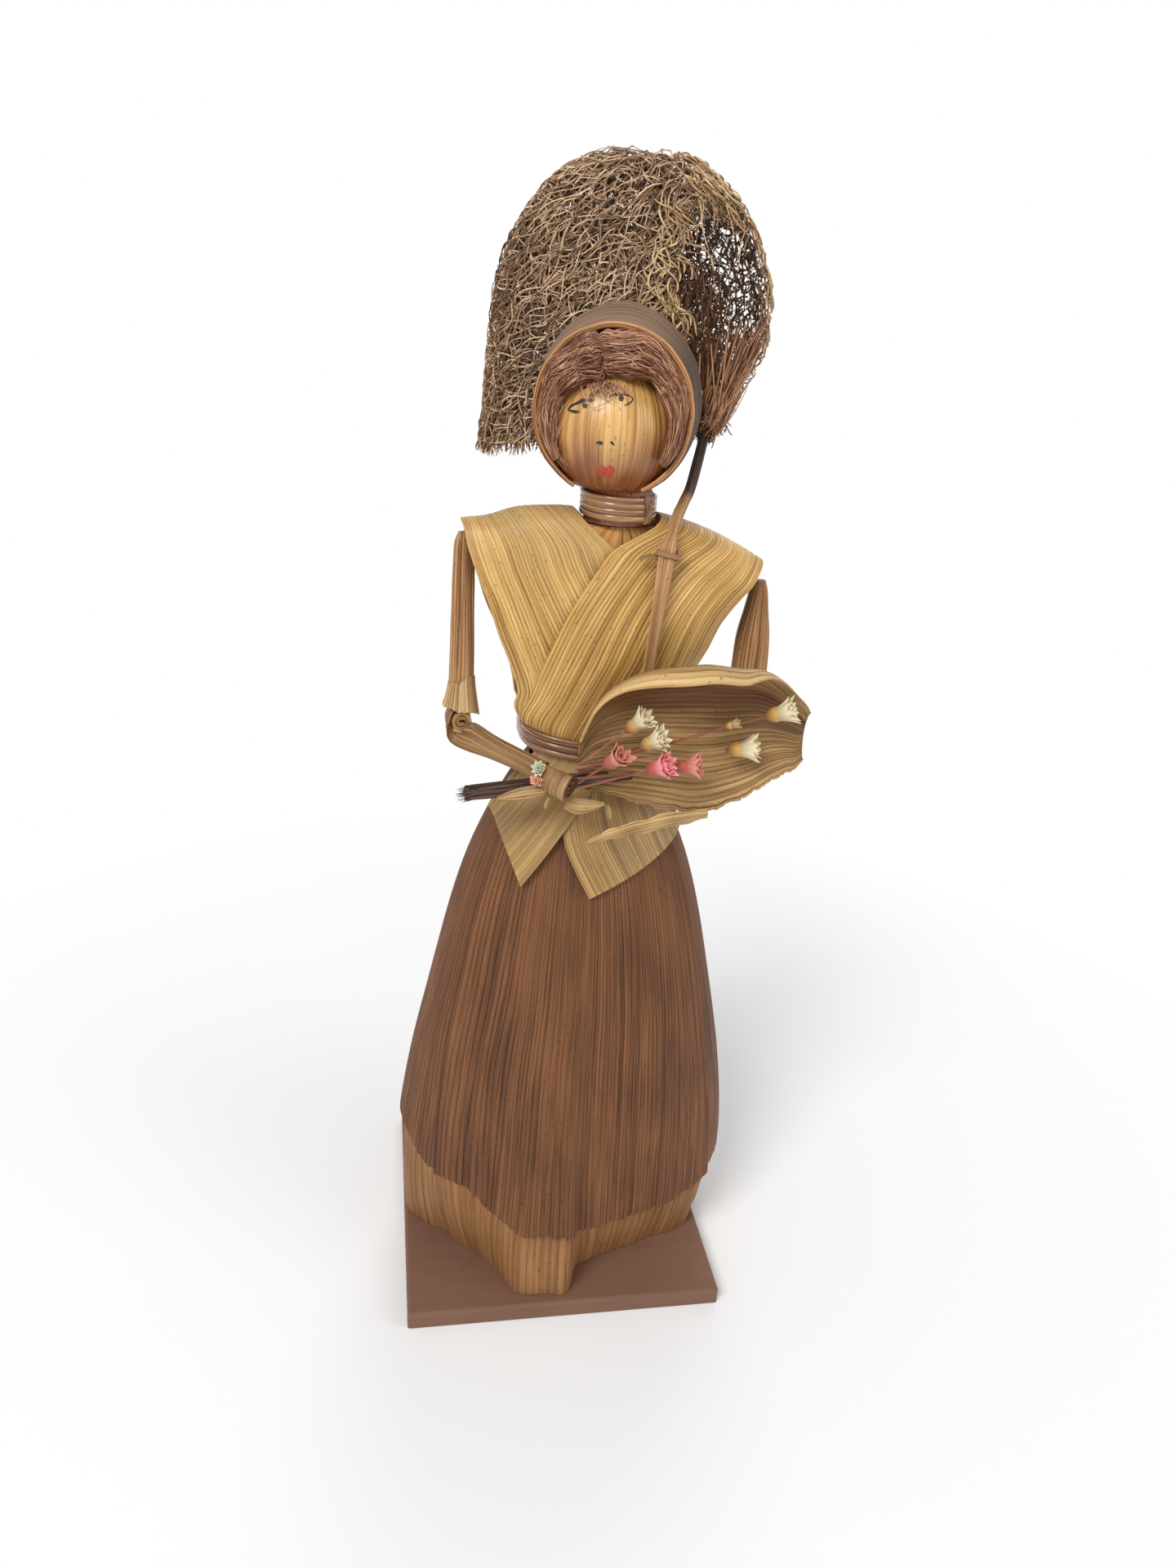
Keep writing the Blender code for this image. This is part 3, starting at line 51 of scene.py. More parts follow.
# Sizes of the solids
BOARD_TOP = 0.005
HUSK = 0.0007
LAYER_GAP = 0.0005
SEAT = 0.0003
LAYER = HUSK + LAYER_GAP
SKIRT_HEIGHT = 0.150
SKIRT_HALF_WIDTH = 0.0505
SKIRT_FRONT_DEPTH = 0.033
SKIRT_BACK_DEPTH = 0.036
SKIRT_X = 0.0032
HEM_HEIGHT = 0.0205
SKIRT_TOP = BOARD_TOP + SKIRT_HEIGHT
WAIST = SKIRT_TOP + 0.006
TORSO_HEIGHT = 0.0557
SHOULDER = WAIST + TORSO_HEIGHT
SHOULDER_HALF = 0.0385
SHOULDER_ROUND = 0.005
CHEST_DEPTH = 0.0142
WAIST_X = 0.0022
WINDING_POWER = 2.6
NECK_X = 0.0072
TAB_LENGTH = 0.0345
NECK_RADIUS = 0.0084
HEAD_RADIUS = 0.0164
HEAD = np.array([0.0048, 0, SHOULDER + 0.0213])
BONNET_RADIUS = 0.0218
BONNET_LENGTH = 0.031
BONNET_LEAN = math.radians(15)
BONNET_AXIS = np.array([math.sin(BONNET_LEAN), math.cos(BONNET_LEAN), 0])
BONNET_SIDE = np.array([math.cos(BONNET_LEAN), -math.sin(BONNET_LEAN), 0])
BONNET_MIDDLE = HEAD + np.array([-0.0022, -0.0092, 0.0046])
HAIR_DEPTH = 0.005
ARM_LENGTH = 0.046
ARM_DEPTH = 0.0024
CUFF_LENGTH = 0.0082
ARM_HALF = 0.0027
LEFT_ARM_HALF = 0.0048
ELBOW_RADIUS = 0.0031
HAND_RADIUS = 0.0047
HAND_LENGTH = 0.0076
STEM_RADIUS = 0.0021
LEAF_LENGTH = 0.057
LEAF_HALF_HEIGHT = 0.021
LEAF_CUP = 0.0075
FLOWER_RADIUS = 0.0042
STICK_RADIUS = 0.0013
CANOPY_HALF_WIDTH = 0.036
CANOPY_HALF_DEPTH = 0.0155
CANOPY_RISE = 0.042
CANOPY_FALL = 0.03
MOUTH_START = 19 / 24
MOUTH_END = 23 / 24
MOUTH_TOP = 2 / 9

# Outlines: place as a share, then what it scales
skirt_width_shares = [(0, 0.965), (0.06, 0.985), (0.14, 1.0), (0.227, 0.99), (0.367, 0.93), (0.533, 0.832),
                      (0.693, 0.723), (0.807, 0.62), (0.9, 0.5), (0.953, 0.41), (1, 0.307)]
skirt_front_shares = [(0, 0.667), (0.1, 0.82), (0.23, 0.91), (0.43, 0.97), (0.63, 0.88), (0.8, 0.727),
                      (0.9, 0.576), (0.953, 0.47), (1, 0.364)]
skirt_back_shares = [(0, 1), (0.23, 0.98), (0.43, 0.9), (0.63, 0.8), (0.8, 0.66), (0.9, 0.53), (1, 0.333)]
prow_shares = [(0, 1), (0.1, 0.62), (0.23, 0.3), (0.43, 0.06), (0.6, 0), (1, 0)]
prow_outline_shares = [(-0.3, 0), (-0.25, 0.04), (-0.211, 0.05), (-0.19, 0.07), (-0.169, 0.15),
                       (-0.142, 0.27), (-0.111, 0.457), (-0.08, 0.75), (-0.064, 0.95), (-0.036, 0.98),
                       (-0.01, 0.98), (0.003, 0.6), (0.014, 0.525), (0.028, 0.47), (0.058, 0.39),
                       (0.089, 0.31), (0.117, 0.26), (0.142, 0.23), (0.16, 0.22), (0.175, 0.19),
                       (0.19, 0.13), (0.21, 0.06), (0.25, 0), (0.3, 0)]
hem_shares = [(-0.5, 1.0), (-0.35, 1.3), (-0.25, 1.75), (-0.217, 1.62), (-0.19, 1.38), (-0.133, 1.37),
              (-0.1, 1.14), (-0.06, 1.08), (-0.017, 1.06), (0.01, 0.87), (0.05, 0.88), (0.13, 0.88),
              (0.167, 1.02), (0.2, 1.1), (0.25, 1.0), (0.35, 0.95), (0.5, 1.0)]
chest_depth_shares = [(0, 0.86), (0.15, 0.93), (0.4, 1.0), (0.65, 0.873), (0.85, 0.67), (1, 0.53)]
chest_width_shares = [(0, 0.416), (0.12, 0.5), (0.35, 0.675), (0.56, 0.87), (0.8, 1.05), (1, 1.12)]
bundle_shares = [(-0.095, 0.63, 0.83), (0, 0.66, 0.85), (0.16, 0.73, 0.92), (0.4, 0.83, 1.0),
                 (0.65, 0.95, 0.86), (0.8, 1.0, 0.66), (0.9, 0.88, 0.55), (0.96, 0.6, 0.5),
                 (0.985, 0.42, 0.46)]
right_strip_shares = [(0, -0.16, 0.385), (0.13, -0.45, 0.42), (0.3, -0.53, 0.53), (0.45, -0.62, 0.47),
                      (0.6, -0.72, 0.33), (0.8, -0.84, 0.12), (0.92, -0.91, 0.0), (1, -0.955, -0.07)]
left_strip_shares = [(0, -0.38, 0.18), (0.14, -0.445, 0.37), (0.3, -0.45, 0.53), (0.46, -0.41, 0.65),
                     (0.6, -0.35, 0.69), (0.74, -0.27, 0.74), (0.9, -0.15, 0.83), (1, -0.06, 0.89)]
right_ridge_shares = [(0.25, -0.98, -0.23), (0.5, -1.0, -0.3), (0.75, -0.98, -0.23)]
left_ridge_shares = [(0.25, 0.2, 0.96), (0.5, 0.27, 0.99), (0.75, 0.2, 0.96)]
left_tab_shares = [(-0.41, 0.08, 0.16, 0.08), (-0.474, 0.166, 0.026, 0.264), (-0.538, 0.252, -0.108, 0.448),
                   (-0.602, 0.338, -0.242, 0.632), (-0.666, 0.424, -0.376, 0.816), (-0.73, 0.51, -0.51, 1.0)]
right_tab_shares = [(-0.14, 0.08, 0.41, 0.08), (-0.2, 0.3, 0.5, 0.2), (-0.22, 0.5, 0.58, 0.33),
                    (-0.19, 0.7, 0.66, 0.46), (-0.11, 0.88, 0.73, 0.58), (-0.01, 1.06, 0.79, 0.71)]
bonnet_shares = [(0, 0.89), (0.22, 0.95), (0.42, 0.99), (0.6, 1.0), (0.74, 0.93), (0.86, 0.74), (0.94, 0.5),
                 (1, 0.12)]
hair_shares = [(0, 0.6, 0.18), (0.12, 0.595, 0.225), (0.3, 0.625, 0.2), (0.5, 0.68, 0.145),
               (0.7, 0.715, 0.105), (0.88, 0.74, 0.08), (1, 0.76, 0.05)]
arm_right_shares = [(0, 0.55, 0.5), (0.05, 0.9, 0.95), (0.12, 1.0, 1.0), (0.45, 1.05, 0.95),
                    (0.8, 1.15, 0.95), (1, 1.3, 1.0)]
arm_left_shares = [(0, 0.3, 0.5), (0.05, 0.45, 0.9), (0.15, 0.62, 1.0), (0.35, 0.95, 1.0), (0.7, 1.0, 0.95),
                   (1, 0.8, 0.9)]
forearm_shares = [(0, 0.85, 0.9), (0.12, 1.0, 1.0), (0.5, 1.05, 1.0), (0.85, 0.95, 1.0), (1, 0.8, 0.85)]
leaf_shares = [(0, 0.2, 0.3), (0.05, 0.42, 0.54), (0.13, 0.54, 0.72), (0.25, 0.6, 0.825), (0.41, 0.605, 0.9),
               (0.5, 0.6, 0.94), (0.61, 0.6, 0.9), (0.75, 0.64, 0.8), (0.84, 0.635, 0.64), (0.92, 0.58, 0.48),
               (0.97, 0.535, 0.4), (1, 0.52, 0.3)]
leaf_back_shares = [(0, 0), (0.2, 0.1), (0.45, 0.25), (1, 0.1)]
strip_shares = [(0.56, 1.13, -0.35, 0.06), (0.46, 1.19, -0.38, 0.085), (0.36, 1.25, -0.42, 0.1),
                (0.22, 1.3, -0.5, 0.09), (0.1, 1.33, -0.59, 0.065), (0.03, 1.36, -0.66, 0.035)]
stick_bend_shares = [(0.06, 0.122, 0.142), (0.125, 0.25, 0.22), (0.208, 0.42, 0.30), (0.291, 0.613, 0.44),
                     (0.369, 0.785, 0.613)]

# The right forearm in millimetres from its elbow: place, lean of its wide side, half width, half thickness
forearm_course = [(-2.2, 1.6, 2.6, 0, 3.2, 0.6), (-3.1, 1.5, 0.3, 0, 3.6, 0.85),
                  (-2.5, 0.9, -2.0, 9, 3.5, 0.9), (-0.5, -1.1, -3.7, 32, 3.1, 0.7),
                  (3.1, -5.5, -3.1, 74, 3.9, 1.0), (7.8, -11.3, -3.5, 90, 3.3, 1.3),
                  (13.8, -17.2, -4.5, 90, 2.9, 1.5), (19.2, -22.2, -5.7, 90, 3.0, 1.8)]
hand_ends = [(17.4, -24.2, -5.1), (24.6, -30.2, -6.5)]

# Torn bits beside the hand, in millimetres from its middle: pairs of points across each, from root to tip
torn_bits = [[(-3.6, -2.6, 0.2, -4.6, -3.4, -2.0), (-7.2, -2.6, 0.3, -7.8, -3.6, -3.0),
              (-11.5, -2.0, -0.9, -11.6, -3.2, -3.6), (-15.8, -1.6, -3.0, -15.6, -2.2, -3.7)],
             [(1.6, -1.6, -2.6, 0.6, -3.4, -5.4), (4.2, -2.6, -3.0, 3.2, -4.4, -6.6),
              (7.6, -3.6, -3.2, 6.4, -4.6, -6.2), (10.6, -4.0, -3.6, 9.8, -4.6, -4.6)],
             [(10.9, -2.2, -5.0, 11.9, -2.4, -5.2), (11.2, -3.0, -6.6, 12.6, -3.2, -6.4),
              (11.8, -3.8, -8.2, 12.6, -3.9, -8.4), (12.9, -4.2, -9.2, 13.3, -4.2, -9.4)],
             [(-2.6, -3.2, -2.6, -3.6, -3.4, -2.6), (-3.2, -3.8, -3.8, -4.3, -3.9, -3.6),
              (-3.6, -4.2, -4.8, -4.6, -4.2, -4.9)]]

# Flowers: place on the leaf, size, start round the stems, petals
flowers = [
    ("flower_cream_1", 0.242, 0.780, 0.75, 0.9, -0.078, "cream", 11),
    ("flower_cream_2", 0.292, 0.648, 1.52, 0.85, 0.106, "cream", 9),
    ("flower_cream_3", 0.715, 0.461, 0.93, 0.95, -0.017, "cream", 12),
    ("flower_cream_4", 0.855, 0.944, 1.12, 0.95, -0.139, "cream", 9),
    ("flower_bud", 0.620, 0.839, 1.47, 0.55, 0.044, "bud", 7),
    ("flower_red", 0.123, 0.472, 1.80, 0.86, 0.228, "red", 9),
    ("flower_pink", 0.302, 0.431, 2.24, 0.85, 0.289, "pink", 9),
    ("flower_rose", 0.464, 0.307, 1.33, 0.84, 0.167, "rose", 9),
]

# The net's inner webs: spacing, depth, lean, radius, tone, and whether a web keeps to one side; the deeper
# webs' darker tones are painted shade.
inner_webs = [(1.35, 0.4, 0.4, 0.22, 0.42, False), (1.2, -0.5, 0.1, 0.28, 0.22, True),
              (1.2, -1.0, -0.3, 0.32, 0.17, True), (1.25, -1.5, 0.5, 0.34, 0.14, True)]

# Ink on the face: x and z from the head's middle in millimetres, and half widths
ink_strokes = [
    [(-12.7, 4.8, 0.1), (-12.0, 5.8, 0.22), (-10.9, 6.5, 0.3), (-10.0, 7.05, 0.42), (-9.3, 7.35, 0.5),
     (-8.7, 7.3, 0.3)],
    [(-12.7, 4.8, 0.12), (-11.9, 4.7, 0.32), (-11.1, 4.7, 0.36), (-10.4, 4.85, 0.14)],
    [(-9.75, 6.5, 0.3), (-9.3, 6.2, 0.62), (-8.9, 6.05, 0.4)],
    [(-8.4, 7.6, 0.2), (-8.1, 7.4, 0.42), (-7.6, 7.6, 0.24)],
    [(-10.15, 9.55, 0.22), (-9.3, 9.95, 0.34), (-8.5, 10.35, 0.2)],
    [(-4.1, 8.35, 0.12), (-3.55, 8.85, 0.22), (-2.65, 9.05, 0.3), (-1.5, 9.2, 0.3), (-0.2, 9.15, 0.3),
     (0.75, 8.9, 0.14)],
    [(-1.5, 9.1, 0.4), (-1.45, 8.5, 0.62), (-1.5, 7.8, 0.34)],
    [(0.7, 8.95, 0.12), (1.2, 8.45, 0.17), (0.95, 7.9, 0.15), (0.1, 7.3, 0.2), (-0.7, 7.0, 0.12)],
    [(-6.75, -1.7, 0.1), (-6.3, -1.3, 0.3), (-5.75, -1.4, 0.46), (-5.2, -1.5, 0.2)],
    [(-3.7, -1.05, 0.12), (-3.3, -1.15, 0.34), (-3.0, -1.4, 0.24), (-2.65, -1.6, 0.1)],
]
lip_columns = [(-5.55, -7.6, -8.2), (-5.1, -6.9, -8.75), (-4.55, -6.65, -9.2), (-3.95, -6.85, -9.4),
               (-3.45, -6.65, -9.45), (-2.9, -6.5, -9.3), (-2.35, -6.7, -9.0), (-1.85, -7.3, -8.1)]


# Numbers

def smooth(table, place, k=1):
    """A smooth curve at a place, through value k of a table's rows and held flat past its ends."""
    rows = np.array(table, float)
    places, values = rows[:, 0], rows[:, k]
    last = len(places) - 1
    place = np.clip(place, places[0], places[-1])
    left = np.clip(np.searchsorted(places, place, side="right") - 1, 0, last - 1)
    knots = np.arange(last + 1)
    before, after = np.maximum(knots - 1, 0), np.minimum(knots + 1, last)
    slopes = (values[after] - values[before]) / (places[after] - places[before])
    step = places[left + 1] - places[left]
    t = (place - places[left]) / step
    start = (1 + 2 * t) * (1 - t) ** 2 * values[left] + t * (1 - t) ** 2 * step * slopes[left]
    return start + t * t * (3 - 2 * t) * values[left + 1] - t * t * (1 - t) * step * slopes[left + 1]


def mix(a, b, t):
    """The place at share t of the way from a to b."""
    return a + (b - a) * t


def unit(vectors):
    vectors = np.asarray(vectors, float)
    return vectors / np.maximum(np.linalg.norm(vectors, axis=-1, keepdims=True), 1e-12)


def noise(x, y, seed):
    """Smooth noise from -1 to 1 at x and y."""
    x, y = np.broadcast_arrays(np.asarray(x, float), np.asarray(y, float))
    i, j = np.floor(x).astype(np.int64), np.floor(y).astype(np.int64)

    def corner(a, b):
        n = (a * 374761393 + b * 668265263 + seed * 974634777) & 0xFFFFFFFF
        n = ((n ^ (n >> 13)) * 1274126177) & 0xFFFFFFFF
        return ((n ^ (n >> 16)) & 0xFFFF) / 32767.5 - 1

    u, v = x - i, y - j
    u, v = u * u * (3 - 2 * u), v * v * (3 - 2 * v)
    low = corner(i, j) * (1 - u) + corner(i + 1, j) * u
    high = corner(i, j + 1) * (1 - u) + corner(i + 1, j + 1) * u
    return low * (1 - v) + high * v


def resample(grid, count, axis):
    """A smooth finer copy of a grid of points along one axis."""
    grid = np.moveaxis(np.asarray(grid, float), axis, 0)
    last = len(grid) - 1
    place = np.linspace(0, last, count)
    k = np.minimum(place.astype(int), last - 1)
    t = (place - k).reshape(-1, *[1] * (grid.ndim - 1))
    start, end = grid[k], grid[k + 1]
    rise = (end - grid[np.maximum(k - 1, 0)]) / 2
    fall = (grid[np.minimum(k + 2, last)] - start) / 2
    made = ((1 + 2 * t) * (1 - t) ** 2 * start + t * (1 - t) ** 2 * rise
            + t * t * (3 - 2 * t) * end - t * t * (1 - t) * fall)
    return np.moveaxis(made, 0, axis)


def veins(u, v, pitch, seed):
    """Height of a husk's ribs, 0 in a groove and 1 on a ridge, at u across and v along in millimetres."""
    place = u / pitch + 0.4 * noise(u / pitch / 2.7, v / 45, seed)
    line = np.floor(place)
    ridge = np.sin(np.pi * (place - line)) ** 0.7
    strength = 0.62 + 0.38 * noise(line * 3.7 + 0.5, v / 70, seed + 1)
    fine = 0.5 + 0.5 * np.sin(TAU * (place * 2.6 + 0.5 * noise(place, v / 30, seed + 2)))
    return 0.8 * ridge * strength + 0.2 * fine


# Materials

def add(tree, kind, inputs, **settings):
    """A shader node; inputs maps sockets to numbers or to other nodes' sockets."""
    node = tree.nodes.new("ShaderNode" + kind)
    for key, value in settings.items():
        setattr(node, key, value)
    for key, value in inputs.items():
        if isinstance(value, bpy.types.NodeSocket):
            tree.links.new(value, node.inputs[key])
        else:
            node.inputs[key].default_value = value
    return node


def flat(tree):
    """A husk laid flat: millimetres across it and along it."""
    return add(tree, "UVMap", {}, uv_map="UVMap").outputs[0]


def field(tree, name):
    """A value that the mesh gives at each point."""
    return add(tree, "Attribute", {}, attribute_name=name).outputs["Fac"]


def dress(tree, shader, colour, grain, roughness=None, bump=None):
    """Give the shader a colour, a roughness that falls over the grain, and bumps of it."""
    tree.links.new(colour, shader.inputs["Base Color"])
    if roughness:
        value = ranged(tree, grain, 0.3, 0.7, *roughness)
        tree.links.new(value, shader.inputs["Roughness"])
    if bump:
        height = add(tree, "Bump", {"Height": grain, "Strength": bump[0], "Distance": bump[1]})
        tree.links.new(height.outputs[0], shader.inputs["Normal"])


def streaks(tree, where, across, along, detail=2.0):
    """Noise stretched along a husk: across and along are cycles per millimetre."""
    spread = add(tree, "Mapping", {"Vector": where, "Scale": (across, along, across)})
    return add(tree, "TexNoise", {"Vector": spread.outputs[0], "Scale": 1.0, "Detail": detail}).outputs[0]


def ramp(tree, value, stops):
    node = add(tree, "ValToRGB", {0: value})
    marks = node.color_ramp.elements
    while len(marks) < len(stops):
        marks.new(0.5)
    for mark, (place, colour) in zip(marks, stops):
        mark.position = place
        mark.color = (*colour, 1)
    return node.outputs[0]


def tint(tree, share, first, second, blend="MIX"):
    return add(tree, "Mix", {0: share, 6: first, 7: second}, data_type="RGBA", blend_type=blend).outputs[2]


def calc(tree, operation, a, b, c=0.0):
    return add(tree, "Math", {0: a, 1: b, 2: c}, operation=operation).outputs[0]


def ranged(tree, value, low, high, start=0.0, end=1.0):
    return add(tree, "MapRange", {0: value, 1: low, 2: high, 3: start, 4: end}).outputs[0]


def shaded(name, roughness, **sockets):
    """A new material, its node tree and its shader, with the sockets named with _ for spaces."""
    material = bpy.data.materials.new(name)
    material.use_nodes = True
    tree = material.node_tree
    shader = tree.nodes["Principled BSDF"]
    shader.inputs["Roughness"].default_value = roughness
    for key, value in sockets.items():
        shader.inputs[key.replace("_", " ")].default_value = value
    return material, tree, shader


def husk_look(name, deep, mid, light, streak, streak_share=0.35, roughness=0.5, fibre=1.0, low=None,
              high=None, gloss=0.2, groove_shade=0.85, **sockets):
    """Dry corn husk: light ridges, thin dark grooves (the veins' own colour with painted shade in the
    grooves), long streaks, fine fibres and a few specks.
    """
    material, tree, shader = shaded(name, roughness, Specular_IOR_Level=gloss, **sockets)
    where = flat(tree)
    rib = field(tree, "vein")
    fine = streaks(tree, where, 2.6 * fibre, 0.06, 3.0)
    broad = streaks(tree, where, 0.6, 0.011, 3.0)
    cloud = streaks(tree, where, 0.05, 0.03)
    tone = calc(tree, "MULTIPLY_ADD", rib, 0.4, calc(tree, "MULTIPLY", fine, 0.6))
    tone = calc(tree, "MULTIPLY_ADD", cloud, 0.6, calc(tree, "SUBTRACT", tone, 0.3))
    tone = calc(tree, "MULTIPLY_ADD", broad, 0.8, calc(tree, "SUBTRACT", tone, 0.4))
    colour = ramp(tree, tone, [(0.26, deep), (0.48, mid), (0.7, light)])
    band = ranged(tree, broad, 0.5, 0.68, 0.0, streak_share)
    colour = tint(tree, band, colour, (*streak, 1))
    # The mesh's low value mixes in the low colours above 0 and the high colours below 0: mostly painted shade
    # and painted light.
    foot = field(tree, "low")
    if low is not None:
        share = ranged(tree, foot, 0.0, 1.0)
        colour = tint(tree, share, colour, tint(tree, tone, (*low[0], 1), (*low[1], 1)))
    if high is not None:
        share = ranged(tree, foot, 0.0, -1.0)
        colour = tint(tree, share, colour, tint(tree, tone, (*high[0], 1), (*high[1], 1)))
    # Grooves darkened: the veins' own colour together with painted shade in the grooves.
    groove = ranged(tree, rib, 0.08, 0.36, groove_shade, 0.0)
    colour = tint(tree, groove, colour, (0.42, 0.34, 0.28, 1), "MULTIPLY")
    speck = ranged(tree, streaks(tree, where, 1.3, 0.8, 0.0), 0.74, 0.78, 0.0, 0.55)
    colour = tint(tree, speck, colour, (*[part * 0.45 for part in deep], 1))
    dress(tree, shader, colour, fine, (roughness + 0.12, roughness - 0.1), (0.5, 0.00018))
    return material


def fibre_look(name, deep, mid, light, roughness=0.55):
    """Dried fibres: every strand has its own tone, and the tone drifts along it."""
    material, tree, shader = shaded(name, roughness, Specular_IOR_Level=0.3)
    where = flat(tree)
    strand = field(tree, "vein")
    drift = streaks(tree, where, 3.0, 0.25)
    tone = calc(tree, "MULTIPLY_ADD", strand, 0.75, calc(tree, "MULTIPLY_ADD", drift, 0.6, -0.2))
    colour = ramp(tree, tone, [(0.1, deep), (0.45, mid), (0.85, light)])
    dress(tree, shader, colour, drift, (roughness + 0.1, roughness - 0.1))
    return material


def wood_look(name, deep, mid, light, roughness):
    """Stained or bare wood with its grain along X, and paler edges, a painted highlight."""
    material, tree, shader = shaded(name, roughness, Specular_IOR_Level=0.25)
    where = add(tree, "TexCoord", {}).outputs["Object"]
    grain = add(tree, "Mapping", {"Vector": where, "Scale": (25, 420, 420)})
    rings = add(tree, "TexNoise", {"Vector": grain.outputs[0], "Scale": 1.0, "Detail": 5.0}).outputs[0]
    cloud = add(tree, "TexNoise", {"Vector": where, "Scale": 38.0, "Detail": 3.0}).outputs[0]
    tone = calc(tree, "MULTIPLY_ADD", cloud, 0.6, calc(tree, "MULTIPLY", rings, 0.45))
    colour = ramp(tree, tone, [(0.25, deep), (0.5, mid), (0.85, light)])
    # Painted highlight: edges lightened towards the light colour.
    edge = add(tree, "NewGeometry", {}).outputs["Pointiness"]
    colour = tint(tree, ranged(tree, edge, 0.505, 0.56, 0.0, 0.6), colour, (*light, 1))
    dress(tree, shader, colour, rings, (roughness + 0.1, roughness - 0.08), (0.35, 0.0002))
    return material


def petal_look(name, base, tip):
    """Dried petals: the colour runs from the foot to the tip, with fine lengthwise lines."""
    material, tree, shader = shaded(name, 0.6, Sheen_Weight=0.2)
    where = flat(tree)
    lines = streaks(tree, where, 6.0, 0.3)
    height = field(tree, "vein")
    share = calc(tree, "MULTIPLY_ADD", height, 1.1, calc(tree, "MULTIPLY_ADD", lines, 0.5, -0.3))
    colour = ramp(tree, share, [(0.05, base), (0.65, tip), (1.0, tuple(min(1, part * 1.25) for part in tip))])
    dress(tree, shader, colour, lines, None, (0.4, 0.0001))
    return material


def ink_look(name, colour, roughness, fade=2.2):
    """Ink that sinks unevenly into the husk's veins."""
    material, tree, shader = shaded(name, roughness)
    where = add(tree, "TexCoord", {}).outputs["Object"]
    sunk = add(tree, "TexNoise", {"Vector": where, "Scale": 1900.0, "Detail": 2.0}).outputs[0]
    paler = tuple(min(1, part * fade + 0.02) for part in colour)
    tree.links.new(ramp(tree, sunk, [(0.35, colour), (0.75, paler)]), shader.inputs["Base Color"])
    return material


